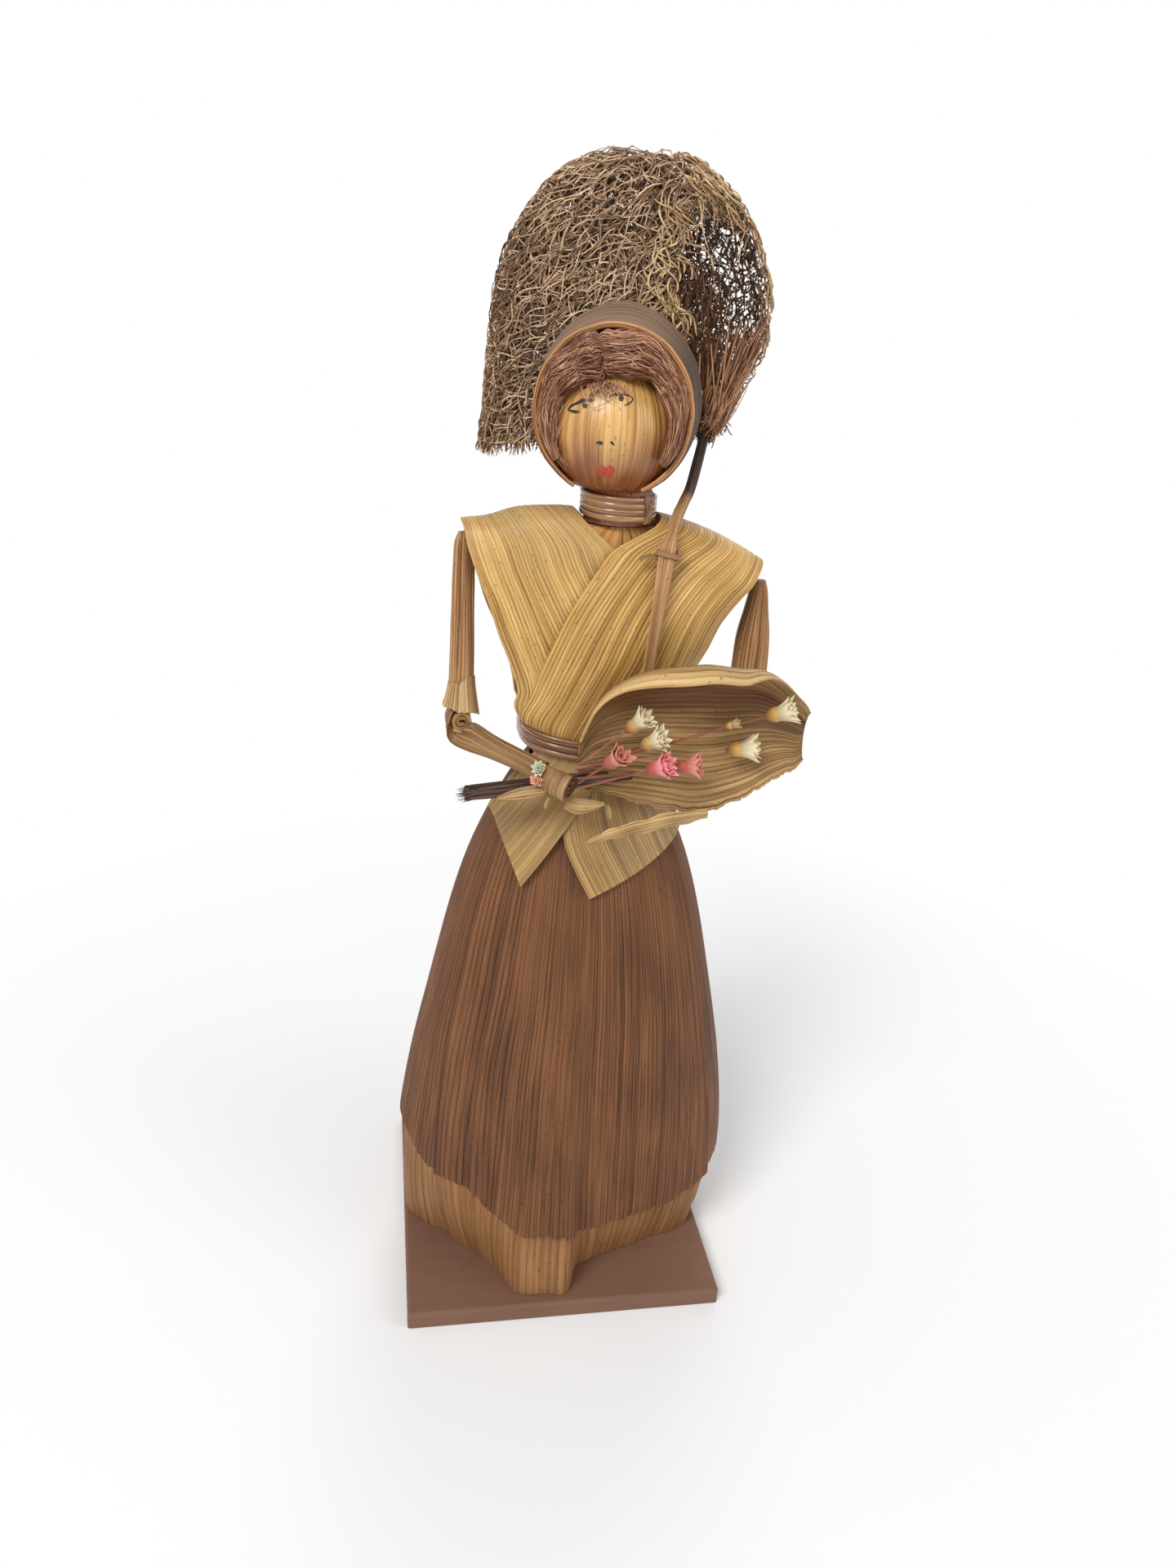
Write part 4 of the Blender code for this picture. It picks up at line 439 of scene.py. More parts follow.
looks = {
    "brown": husk_look("skirt husk", (0.082, 0.035, 0.016), (0.17, 0.069, 0.029), (0.255, 0.105, 0.043),
                       (0.09, 0.041, 0.021), 0.7, 0.6, 0.7),
    "tan": husk_look("underskirt husk", (0.2, 0.092, 0.036), (0.285, 0.136, 0.052), (0.37, 0.185, 0.075),
                     (0.21, 0.1, 0.045), 0.3, 0.6, 0.7, groove_shade=0.4),
    # The shawl's low colours are painted shade on the tabs and near the waist; its high colours are painted
    # light over the shoulders.
    "gold": husk_look("shawl husk", (0.3, 0.15, 0.035), (0.56, 0.32, 0.088), (0.9, 0.59, 0.22),
                      (0.36, 0.165, 0.035), 0.5, 0.4, gloss=0.3,
                      high=((0.36, 0.205, 0.07), (0.66, 0.45, 0.19)),
                      low=((0.17, 0.092, 0.036), (0.52, 0.35, 0.155))),
    # The leaf's low colours are the painted shadow under its rolled rim; its high colours are the husk's
    # paler back with a painted highlight.
    "leaf": husk_look("leaf husk", (0.17, 0.086, 0.03), (0.34, 0.2, 0.075), (0.56, 0.36, 0.15),
                      (0.2, 0.088, 0.028), 0.5, 0.4, gloss=0.3,
                      low=((0.055, 0.022, 0.007), (0.27, 0.108, 0.03)),
                      high=((0.44, 0.25, 0.085), (0.9, 0.64, 0.3))),
    # The face's low colours darken and redden the chin: partly the husk's own colour, partly painted shade.
    "face": husk_look("face husk", (0.42, 0.2, 0.05), (0.63, 0.35, 0.1), (0.8, 0.52, 0.21),
                      (0.5, 0.23, 0.06), 0.3, 0.3, 1.4, gloss=0.4,
                      low=((0.13, 0.036, 0.012), (0.38, 0.12, 0.034)), Coat_Weight=0.4, Coat_Roughness=0.28),
    # The arm husk's low colours are a painted shadow and its high colours painted light, both used on the
    # parasol stick.
    "amber": husk_look("arm husk", (0.2, 0.088, 0.033), (0.39, 0.195, 0.08), (0.62, 0.37, 0.18),
                       (0.22, 0.092, 0.034), 0.5, 0.42, low=((0.035, 0.022, 0.016), (0.08, 0.045, 0.03)),
                       high=((0.22, 0.11, 0.038), (0.62, 0.38, 0.165))),
    "bodice": husk_look("bodice husk", (0.36, 0.15, 0.037), (0.6, 0.295, 0.088), (0.75, 0.41, 0.14),
                        (0.36, 0.145, 0.035), 0.4, 0.45),
    "band": husk_look("winding husk", (0.1, 0.038, 0.015), (0.27, 0.115, 0.045), (0.56, 0.3, 0.14),
                      (0.12, 0.048, 0.02), 0.4, 0.25, 1.0, gloss=0.5, Coat_Weight=0.5, Coat_Roughness=0.18),
    "neck": husk_look("neck winding", (0.12, 0.045, 0.017), (0.3, 0.13, 0.045), (0.56, 0.31, 0.13),
                      (0.15, 0.055, 0.018), 0.4, 0.22, 1.0, gloss=0.5, Coat_Weight=0.6, Coat_Roughness=0.14),
    "sleeve": husk_look("forearm husk", (0.17, 0.08, 0.034), (0.32, 0.178, 0.075), (0.5, 0.31, 0.15),
                        (0.16, 0.075, 0.033), 0.5, 0.42),
    "cuff": husk_look("cuff husk", (0.33, 0.18, 0.08), (0.56, 0.36, 0.165), (0.76, 0.54, 0.3),
                      (0.3, 0.16, 0.07), 0.4, 0.5),
    # The bonnet's low colours are painted shade on the hood's side towards the doll's left.
    "bonnet": husk_look("bonnet husk", (0.16, 0.095, 0.057), (0.262, 0.163, 0.102), (0.37, 0.24, 0.155),
                        (0.165, 0.095, 0.058), 0.5, 0.65, 0.8,
                        low=((0.05, 0.025, 0.015), (0.105, 0.058, 0.036))),
    "lining": husk_look("bonnet lining", (0.22, 0.088, 0.03), (0.52, 0.25, 0.1), (0.7, 0.39, 0.19),
                        (0.22, 0.09, 0.034), 0.4, 0.42),
    "fill": husk_look("packed husk", (0.3, 0.19, 0.08), (0.46, 0.31, 0.14), (0.6, 0.44, 0.22),
                      (0.3, 0.18, 0.07), 0.4, 0.7),
    "hair": fibre_look("hair fibre", (0.085, 0.028, 0.014), (0.32, 0.135, 0.07), (0.78, 0.43, 0.25), 0.32),
    "net": fibre_look("net fibre", (0.06, 0.03, 0.016), (0.255, 0.142, 0.078), (0.78, 0.54, 0.33), 0.6),
    "tuft": fibre_look("pale net fibre", (0.16, 0.085, 0.035), (0.42, 0.255, 0.115), (0.68, 0.48, 0.26), 0.5),
    "rust": fibre_look("rust net fibre", (0.09, 0.036, 0.018), (0.25, 0.11, 0.052), (0.46, 0.24, 0.12), 0.55),
    "stem": fibre_look("dry stalks", (0.03, 0.012, 0.009), (0.075, 0.036, 0.027), (0.15, 0.085, 0.062), 0.5),
    "stalk": fibre_look("flower stalks", (0.12, 0.035, 0.018), (0.28, 0.1, 0.055), (0.42, 0.2, 0.11), 0.55),
    "board": wood_look("stained wood", (0.095, 0.045, 0.029), (0.14, 0.072, 0.047), (0.24, 0.125, 0.08),
                       0.55),
    "wood": wood_look("bare wood", (0.42, 0.27, 0.13), (0.55, 0.37, 0.19), (0.66, 0.47, 0.27), 0.6),
    "wire": wood_look("iron wire", (0.05, 0.04, 0.035), (0.11, 0.1, 0.095), (0.2, 0.18, 0.17), 0.4),
    "cream": petal_look("cream petals", (0.4, 0.27, 0.08), (0.72, 0.63, 0.4)),
    "bud": petal_look("bud petals", (0.25, 0.13, 0.045), (0.42, 0.31, 0.14)),
    "red": petal_look("red petals", (0.26, 0.028, 0.014), (0.6, 0.22, 0.14)),
    "pink": petal_look("pink petals", (0.42, 0.03, 0.035), (0.8, 0.25, 0.27)),
    "rose": petal_look("rose petals", (0.3, 0.03, 0.02), (0.66, 0.24, 0.17)),
    "green": petal_look("green petals", (0.3, 0.3, 0.17), (0.64, 0.68, 0.5)),
    "coral": petal_look("coral petals", (0.45, 0.1, 0.04), (0.85, 0.45, 0.28)),
    "calyx": petal_look("flower foot", (0.2, 0.07, 0.02), (0.52, 0.27, 0.06)),
    "red calyx": petal_look("red flower foot", (0.2, 0.03, 0.02), (0.42, 0.07, 0.04)),
    "ink": ink_look("eye ink", (0.012, 0.012, 0.016), 0.4),
    "lips": ink_look("lip ink", (0.36, 0.04, 0.022), 0.5, 1.5),
    "pulp": ink_look("pressed pulp", (0.6, 0.58, 0.52), 0.8),
}


# Meshes

CLOSED = {"thick": None, "ring": True}

def show(obj):
    """Put an object in the scene."""
    bpy.context.scene.collection.objects.link(obj)


def link(name, parts, materials, body):
    """An object of mesh parts on a body; it takes the place of the CAD node that it is named after."""
    mesh = build_mesh(name, parts)
    obj = bpy.data.objects.new(name, mesh)
    show(obj)
    for material in materials:
        mesh.materials.append(looks[material])
    mesh.shade_smooth()
    mesh.set_sharp_from_angle(angle=math.radians(50))
    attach(obj, body)
    for node in (name, name.removesuffix("_husk")):
        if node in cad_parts:
            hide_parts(node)
            break
    return obj


def build_mesh(name, parts):
    """One mesh of parts; a part is points, faces, uv in millimetres, vein, material number and low, which
    mixes in darker colours above 0 and paler ones below 0, mostly painted shade and painted light.
    """
    points, faces, uv, vein, low, number = [], [], [], [], [], []
    start = 0
    for part in parts:
        count = len(part["points"])
        points.append(part["points"])
        uv.append(part["uv"])
        vein.append(np.broadcast_to(part.get("vein", 0.5), count))
        low.append(np.broadcast_to(part.get("low", 0.0), count))
        for group, material in part["faces"]:
            faces += [[start + k for k in face] for face in group]
            number += [material] * len(group)
        start += count
    mesh = bpy.data.meshes.new(name)
    mesh.from_pydata(np.concatenate(points).tolist(), [], faces)
    corners = np.empty(len(mesh.loops), np.int32)
    mesh.loops.foreach_get("vertex_index", corners)
    layer = mesh.uv_layers.new(name="UVMap")
    layer.data.foreach_set("uv", np.concatenate(uv).astype(np.float32)[corners].ravel())
    for word, values in (("vein", vein), ("low", low)):
        attribute = mesh.attributes.new(word, "FLOAT", "POINT")
        attribute.data.foreach_set("value", np.concatenate(values).astype(np.float32))
    mesh.polygons.foreach_set("material_index", np.array(number, np.int32))
    return mesh


def quads(rows, across, ring, start=0, flip=False):
    """Faces of a grid of points."""
    steps = across if ring else across - 1
    r, c = np.meshgrid(np.arange(rows - 1), np.arange(steps), indexing="ij")
    d = (c + 1) % across
    made = np.stack([r * across + c, r * across + d, (r + 1) * across + d, (r + 1) * across + c], -1)
    made = made.reshape(-1, 4) + start
    return (made[:, ::-1] if flip else made).tolist()


def normals(grid, ring):
    """Unit normals of a grid: across crossed with along."""
    if ring:
        across = np.roll(grid, -1, 1) - np.roll(grid, 1, 1)
    else:
        across = np.gradient(grid, axis=1)
    return unit(np.cross(across, np.gradient(grid, axis=0)))


def measures(grid):
    """Millimetres across at the widest row, and along."""
    widths = np.linalg.norm(np.diff(grid, axis=1), axis=2)
    u = np.concatenate([[0], np.cumsum(widths[widths.sum(1).argmax()])]) / MM
    v = np.concatenate([[0], np.cumsum(np.linalg.norm(np.diff(grid, axis=0), axis=2).mean(1))]) / MM
    return np.meshgrid(u, v)


def husk_part(grid, inside, thick=HUSK, pitch=1.3, rib=0.12, seed=1, ring=False, low=None, inner=0, rim=0,
              lift=0.0):
    """A ribbed husk over a grid; rib is the ribs' height in millimetres and inside a point behind it."""
    rows, across = grid.shape[:2]
    u, v = measures(grid)
    outward = normals(grid, ring)
    side = np.sign(np.sum(outward * (grid - np.asarray(inside)))) or 1.0
    outward = outward * side
    height = veins(u, v, pitch, seed)
    raised = (height - 0.5) * rib * MM + lift
    outer = grid + outward * raised[..., None]
    uv = np.stack([u, v], -1).reshape(-1, 2)
    vein = height.ravel()
    foot = np.zeros(rows * across) if low is None else np.broadcast_to(low, grid.shape[:2]).ravel()
    flip = side < 0
    groups = [(quads(rows, across, ring, 0, flip), 0)]
    if thick is None:
        ends = [list(range(across)), [(rows - 1) * across + k for k in range(across)]]
        ends[1 if flip else 0].reverse()
        groups.append((ends, 0))
        return {"points": outer.reshape(-1, 3), "uv": uv, "vein": vein, "low": foot, "faces": groups}
    inner_grid = grid - outward * thick + outward * raised[..., None] * 0.7
    count = rows * across
    groups.append((quads(rows, across, ring, count, not flip), inner))
    border = []
    ids = np.arange(count).reshape(rows, across)
    edges = (ids[0], ids[-1]) if ring else (ids[0], ids[-1], ids[:, 0], ids[:, -1])
    for number, edge in enumerate(edges):
        near, far = (edge, np.roll(edge, -1)) if ring else (edge[:-1], edge[1:])
        band = np.stack([far, near, count + near, count + far], -1)
        border += (band[:, ::-1] if (number % 2 == 1) != flip else band).tolist()
    groups.append((border, rim))
    points = np.concatenate([outer.reshape(-1, 3), inner_grid.reshape(-1, 3)])
    return {"points": points, "uv": np.concatenate([uv, uv]), "vein": np.concatenate([vein, vein * 0.8]),
            "low": np.concatenate([foot, foot]), "faces": groups}


def husk(name, grid, inside, look, body, slot, also=(), **settings):
    """One husk as an object of its own."""
    return link(name, [husk_part(grid, inside, **settings)], (look, *also), body)


def tube(path, up, tall, wide, sides, corner=1.0):
    """A grid of rings round a path; corner under 1 makes the rings squarer."""
    path = np.asarray(path, float)
    along = unit(np.gradient(path, axis=0))
    side = unit(np.cross(along, up))
    rise = np.cross(side, along)
    turns = TAU * np.arange(sides) / sides
    high = np.sign(np.cos(turns)) * np.abs(np.cos(turns)) ** corner
    across = np.sign(np.sin(turns)) * np.abs(np.sin(turns)) ** corner
    tall, wide = np.broadcast_to(tall, len(path)), np.broadcast_to(wide, len(path))
    return (path[:, None] + rise[:, None] * (tall[:, None] * high)[..., None]
            + side[:, None] * (wide[:, None] * across)[..., None])


def fibre_part(paths, radius, sides=3, tones=None, material=0):
    """Many thin closed tubes; paths are (fibres, points, 3) and radius spreads over them."""
    paths = np.asarray(paths, float)
    count, length = paths.shape[:2]
    along = unit(np.gradient(paths, axis=1))
    helper = np.where(np.abs(along[..., 2:]) < 0.8, UP, BACK)
    side = unit(np.cross(along, helper))
    rise = np.cross(side, along)
    radius = np.broadcast_to(radius, (count, length))[..., None, None]
    turns = TAU * np.arange(sides) / sides
    rings = (paths[:, :, None] + radius * (rise[:, :, None] * np.cos(turns)[:, None]
                                           + side[:, :, None] * np.sin(turns)[:, None]))
    base = (np.arange(count) * length * sides)[:, None, None]
    r, c = np.meshgrid(np.arange(length - 1), np.arange(sides), indexing="ij")
    d = (c + 1) % sides
    cell = np.stack([r * sides + c, (r + 1) * sides + c, (r + 1) * sides + d, r * sides + d],
                    -1).reshape(-1, 4)
    faces = (cell[None] + base).reshape(-1, 4).tolist()
    cap = np.arange(sides)
    starts = (base[:, 0] + cap[None]).tolist()
    ends = (base[:, 0] + (length - 1) * sides + cap[::-1][None]).tolist()
    if tones is None:
        tones = rng.random(count)
    steps = np.linalg.norm(np.diff(paths, axis=1), axis=2)
    run = np.concatenate([np.zeros((count, 1)), np.cumsum(steps, 1)], 1) / MM
    offset = rng.random(count)[:, None, None] * 90
    u = np.broadcast_to(offset + 0.1 * np.arange(sides), (count, length, sides))
    v = np.broadcast_to(run[..., None], (count, length, sides))
    vein = np.broadcast_to(np.asarray(tones)[:, None, None], (count, length, sides))
    return {"points": rings.reshape(-1, 3), "uv": np.stack([u, v], -1).reshape(-1, 2), "vein": vein.ravel(),
            "faces": [(faces, material), (starts + ends, material)]}


def taper(count, ends=0.35):
    """Radius shares along a fibre, thin at both ends."""
    place = np.linspace(0, 1, count)
    return ends + (1 - ends) * np.clip(4 * place * (1 - place) * 1.6, 0, 1)


def finish_node(node, look):
    """Give a CAD node that stays its procedural material."""
    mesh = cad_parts[node].data
    mesh.materials.clear()
    mesh.materials.append(looks[look])


# Skirts

def skirt_width(share):
    return SKIRT_HALF_WIDTH * smooth(skirt_width_shares, share)


def skirt_front(share):
    return SKIRT_FRONT_DEPTH * smooth(skirt_front_shares, share)


def skirt_centre(share):
    return mix(SKIRT_X, WAIST_X, np.maximum(share, 0) ** 4)


def skirt_points(angle, height, inset):
    """Points of the skirt's surface; angle 0 is in front and grows towards the doll's left."""
    share = height / SKIRT_HEIGHT
    depth = np.where(np.cos(angle) > 0, skirt_front(share),
                     SKIRT_BACK_DEPTH * smooth(skirt_back_shares, share))
    radius = 1 / np.hypot(np.sin(angle) / skirt_width(share), np.cos(angle) / depth)
    turn = np.remainder(angle + math.pi, TAU) - math.pi
    radius = radius * (1 + smooth(prow_shares, share) * smooth(prow_outline_shares, turn / TAU)) - inset
    x = skirt_centre(share) + radius * np.sin(angle)
    return np.stack([x, -radius * np.cos(angle), BOARD_TOP + height], -1)


def make_skirts():
    """Four overskirt husks over four underskirt husks."""
    step = TAU / 40
    panels = [("front", -7, 7, 0), ("back", 13, 27, 0), ("left", 5, 15, 1), ("right", -15, -5, 1)]
    for number, (word, first, last, level) in enumerate(panels):
        over = level * LAYER
        across = 30 * (last - first)
        rows = 36
        place = np.linspace(0, 1, across)[None]
        along = np.linspace(0, 1, rows)[:, None]
        wander = step * 0.1
        start = first * step + wander * noise(along * 5, number, 31)
        end = last * step + wander * noise(along * 5, number + 9, 32)
        angle = mix(start, end, place) + 0 * along
        turn = np.remainder(angle[0] + math.pi, TAU) - math.pi
        edge = np.minimum(place, 1 - place)
        lip = np.exp(-(edge / 0.02) ** 2) * (0.25 * MM if level == 0 else 0.0)
        hem = HEM_HEIGHT * smooth(hem_shares, turn / TAU)
        hem = hem + 0.55 * MM * noise(turn * 22, number, 5) + 0.35 * MM * noise(turn * 75, number, 6)
        foots = {"overskirt_": (over, hem, "brown", 0.16), 
                 "underskirt_": (over + 2 * LAYER, SEAT + 0 * hem, "tan", 0.1)}
        for kind, (inset, foot, look, rib) in foots.items():
            height = mix(foot[None], SKIRT_HEIGHT, along ** 1.15)
            wave = 0.22 * MM * noise(angle * 5, height / 0.03, 40 + number)
            grid = skirt_points(angle, height, inset - lip * (1 - 0.6 * along) - wave)
            if look == "tan":
                grid = grid[:, ::2]
            pitch = 1.9 if look == "brown" else 2.3
            if word == "front" and look == "brown":
                pitch = np.interp(measures(grid)[0], (25, 60), (2.3, 1.35))
            slot = "husk_brown" if look == "brown" else "husk_tan"
            husk(kind + word, grid, (SKIRT_X, 0, 0.08), look, "stand", slot,
                 pitch=pitch, rib=rib, seed=50 + number + len(kind))


# Torso

def chest_centre(share):
    return mix(WAIST_X, NECK_X, share)


def shoulder_level(x):
    spread = (x - NECK_X) / SHOULDER_HALF
    return SHOULDER - np.where(spread > 0, 0.012, 0.002) * spread ** 2


def drape_depth(x, z):
    """How far the layer under the shawl stands out from the middle plane."""
    x, z = np.broadcast_arrays(x, z)
    share = (z - WAIST) / TORSO_HEIGHT
    below = (np.minimum(z, SKIRT_TOP) - BOARD_TOP) / SKIRT_HEIGHT
    above = z >= WAIST
    centre = np.where(above, chest_centre(share), skirt_centre(below))
    half_width = np.where(above, SHOULDER_HALF * smooth(chest_width_shares, share),
                          skirt_width(below) + LAYER_GAP)
    depth = np.where(above, CHEST_DEPTH * smooth(chest_depth_shares, share), skirt_front(below) + LAYER_GAP)
    return depth * np.sqrt(np.maximum(1 - ((x - centre) / half_width) ** 2, 0.09))


def settled(points):
    """Draw the shawl in where the winding holds it, and raise its fold beside the neck."""
    above = np.exp(-((points[..., 2] - WAIST - 0.0065) / (5 * MM)) ** 2) * (points[..., 1] < 0)
    points[..., 0] -= 2.2 * MM * above * np.clip((WAIST_X - points[..., 0]) / 0.011, 0, 1) ** 2
    hold = np.exp(-((points[..., 2] - WAIST) / (4.5 * MM)) ** 4)
    room = 1 - np.abs(np.clip((points[..., 0] - WAIST_X) / 0.0163, -0.985, 0.985)) ** WINDING_POWER
    bound = 0.0151 * room ** (1 / WINDING_POWER)
    deep = np.abs(points[..., 1])
    points[..., 1] = np.sign(points[..., 1]) * mix(deep, np.minimum(deep, bound), hold)
    top = np.clip((points[..., 2] - SHOULDER + 0.012) / 0.012, 0, 1)
    points[..., 2] += 2.0 * MM * top * np.exp(-((points[..., 0] - NECK_X + 0.0185) / 0.011) ** 4)
    return points


def make_shawl_strip(name, edges, ridge, tab, lift, bend, pale, seed):
    """A long husk from its pointed end at the front, over the shoulder and down the back."""
    place = np.linspace(0, 1, 190)
    # tones: painted shade (above 0) on the tabs and near the waist, painted light (below 0) over the shoulder
    # ridge and, less, down the back; pale sets how much of the painted light a strip takes.
    rows, tones = [], []
    for left_x, left_down, right_x, right_down in reversed(tab):
        x = WAIST_X + TAB_LENGTH * mix(left_x, right_x, place)
        z = WAIST - TAB_LENGTH * mix(left_down, right_down, place)
        rows.append(np.stack([x, -(drape_depth(x, z) + lift), z], -1))
        tones.append(0.75)

    def edge_row(share, side):
        low = chest_centre(share) + SHOULDER_HALF * smooth(edges, share, 1)
        high = chest_centre(share) + SHOULDER_HALF * smooth(edges, share, 2)
        x = mix(low, high, place - bend * (1 - share) ** 0.5 * place * (1 - place) * (side < 0))
        z = mix(WAIST, shoulder_level(x) - SHOULDER_ROUND, share)
        return np.stack([x, side * (drape_depth(x, z) + lift), z], -1)

    rows += [edge_row(k / 11, -1) for k in range(12)]
    tones += list(np.interp(np.arange(12) / 11, (0, 0.15, 0.55, 0.85, 1), (0.5, 0.05, 0, -0.3, -0.6)))
    for turn, low, high in ridge:
        x = NECK_X + SHOULDER_HALF * mix(low, high, place)
        base = shoulder_level(x) - SHOULDER_ROUND
        y = -(drape_depth(x, base) + lift) * math.cos(math.pi * turn)
        rows.append(np.stack([x, y, base + (SHOULDER_ROUND + lift) * math.sin(math.pi * turn)], -1))
        tones.append(-0.7)
    rows += [edge_row(k / 8, 1) for k in range(8, -1, -1)]
    tones += [-0.3] * 9
    grid = settled(resample(rows, 104, 0))
    wander = 0.35 * MM * noise(np.arange(104) / 7, seed, 3)
    grid[..., 0] += wander[:, None] * np.abs(place * 2 - 1)[None] ** 3
    tones = np.maximum(tones, 0) + pale * np.minimum(tones, 0)
    low = resample(tones[:, None], 104, 0) + 0.25 * noise(place * 7, np.arange(104)[:, None] / 22, seed + 5)
    return husk(name, grid, (NECK_X, 0, 0.19), "gold", "stand", "husk_gold", pitch=1.15, rib=0.24,
                seed=seed, thick=HUSK - LAYER_GAP / 2, low=low)


def make_torso():
    """The bound bundle under the shawl and the shawl strips."""
    rings = []
    turns = TAU * np.arange(150) / 150
    for share, wide, deep in bundle_shares:
        rings.append(np.stack([chest_centre(share) + 0.0205 * wide * np.sin(turns),
                               -0.013 * deep * np.cos(turns), WAIST + share * TORSO_HEIGHT + 0 * turns], -1))
    husk("torso_bundle_husk", resample(rings, 60, 0), (NECK_X, 0, 0.19), "bodice", "stand", "husk_amber",
         **CLOSED, seed=61, pitch=1.1, rib=0.16)
    make_shawl_strip("shawl_right", right_strip_shares, right_ridge_shares, right_tab_shares,
                     LAYER_GAP + HUSK, 0.0, 1.0, 71)
    make_shawl_strip("shawl_left", left_strip_shares, left_ridge_shares, left_tab_shares,
                     LAYER_GAP + LAYER + SEAT + HUSK, 0.32, 0.0, 72)


def wind(name, path, cord, flat, look, body, slot, seed):
    """A winding of twisted husk: one closed tube with ribs along it."""
    path = np.array(path)
    swell = 1 + 0.1 * noise(np.arange(len(path)) / 7, seed, 8)
    grid = tube(path, UP, cord / 2 * flat * swell, cord / 2 * swell, 14, 0.8)
    return husk(name, grid, (0, 0, 0), look, body, slot, **CLOSED, pitch=0.45, rib=0.05,
                seed=seed)


def make_windings():
    """The waist winding and the neck winding."""
    loop = 96
    k = np.arange(3 * loop + 1)
    turn = TAU * k / loop
    square = 2 / WINDING_POWER
    x = 0.0169 * np.sign(np.sin(turn)) * np.abs(np.sin(turn)) ** square
    y = 0.0159 * np.sign(np.cos(turn)) * np.abs(np.cos(turn)) ** square
    path = np.stack([WAIST_X + x, y, WAIST + 0.00185 * (k / loop - 1.5) - x * math.tan(math.radians(5))], -1)
    wind("waistband_husk", path, 0.0013, 1.45, "band", "stand", "husk_amber", 81)
    k = np.arange(4 * loop + 1)
    turn = TAU * k / loop
    radius = NECK_RADIUS + SEAT + 0.0004
    path = np.stack([NECK_X + radius * np.sin(turn), radius * np.cos(turn),
                     SHOULDER + 0.0009 + 0.00148 * k / loop], -1)
    wind("neck_band_husk", path, 0.00085, 1.85, "neck", "head", "husk_amber", 82)
    end = []
    for share in np.linspace(0, 1, 24):
        spot = math.radians(38) + 0.05 * math.sin(share * 5)
        rim = radius + 0.55 * MM + 0.15 * MM * math.sin(share * math.pi)
        turns = spot + np.linspace(-0.13, 0.13, 16) * (1 - 0.3 * share)
        end.append(np.stack([NECK_X + rim * np.sin(turns), -rim * np.cos(turns),
                             SHOULDER + 0.0004 + 0.0067 * share + 0 * turns], -1))
    husk("neck_band_end", np.array(end), (NECK_X, 0, SHOULDER), "neck", "head", "husk_amber", thick=0.35 * MM,
         pitch=0.6, rib=0.08, seed=83)


# Head

def head_front(x, z, lift=0.0):
    """A point on the front of the head, from millimetres beside its middle."""
    x, z = np.asarray(x) * MM, np.asarray(z) * MM
    radius = HEAD_RADIUS + lift
    return HEAD + np.stack([x, -np.sqrt(np.maximum(radius ** 2 - x * x - z * z, 1e-9)), z], -1)


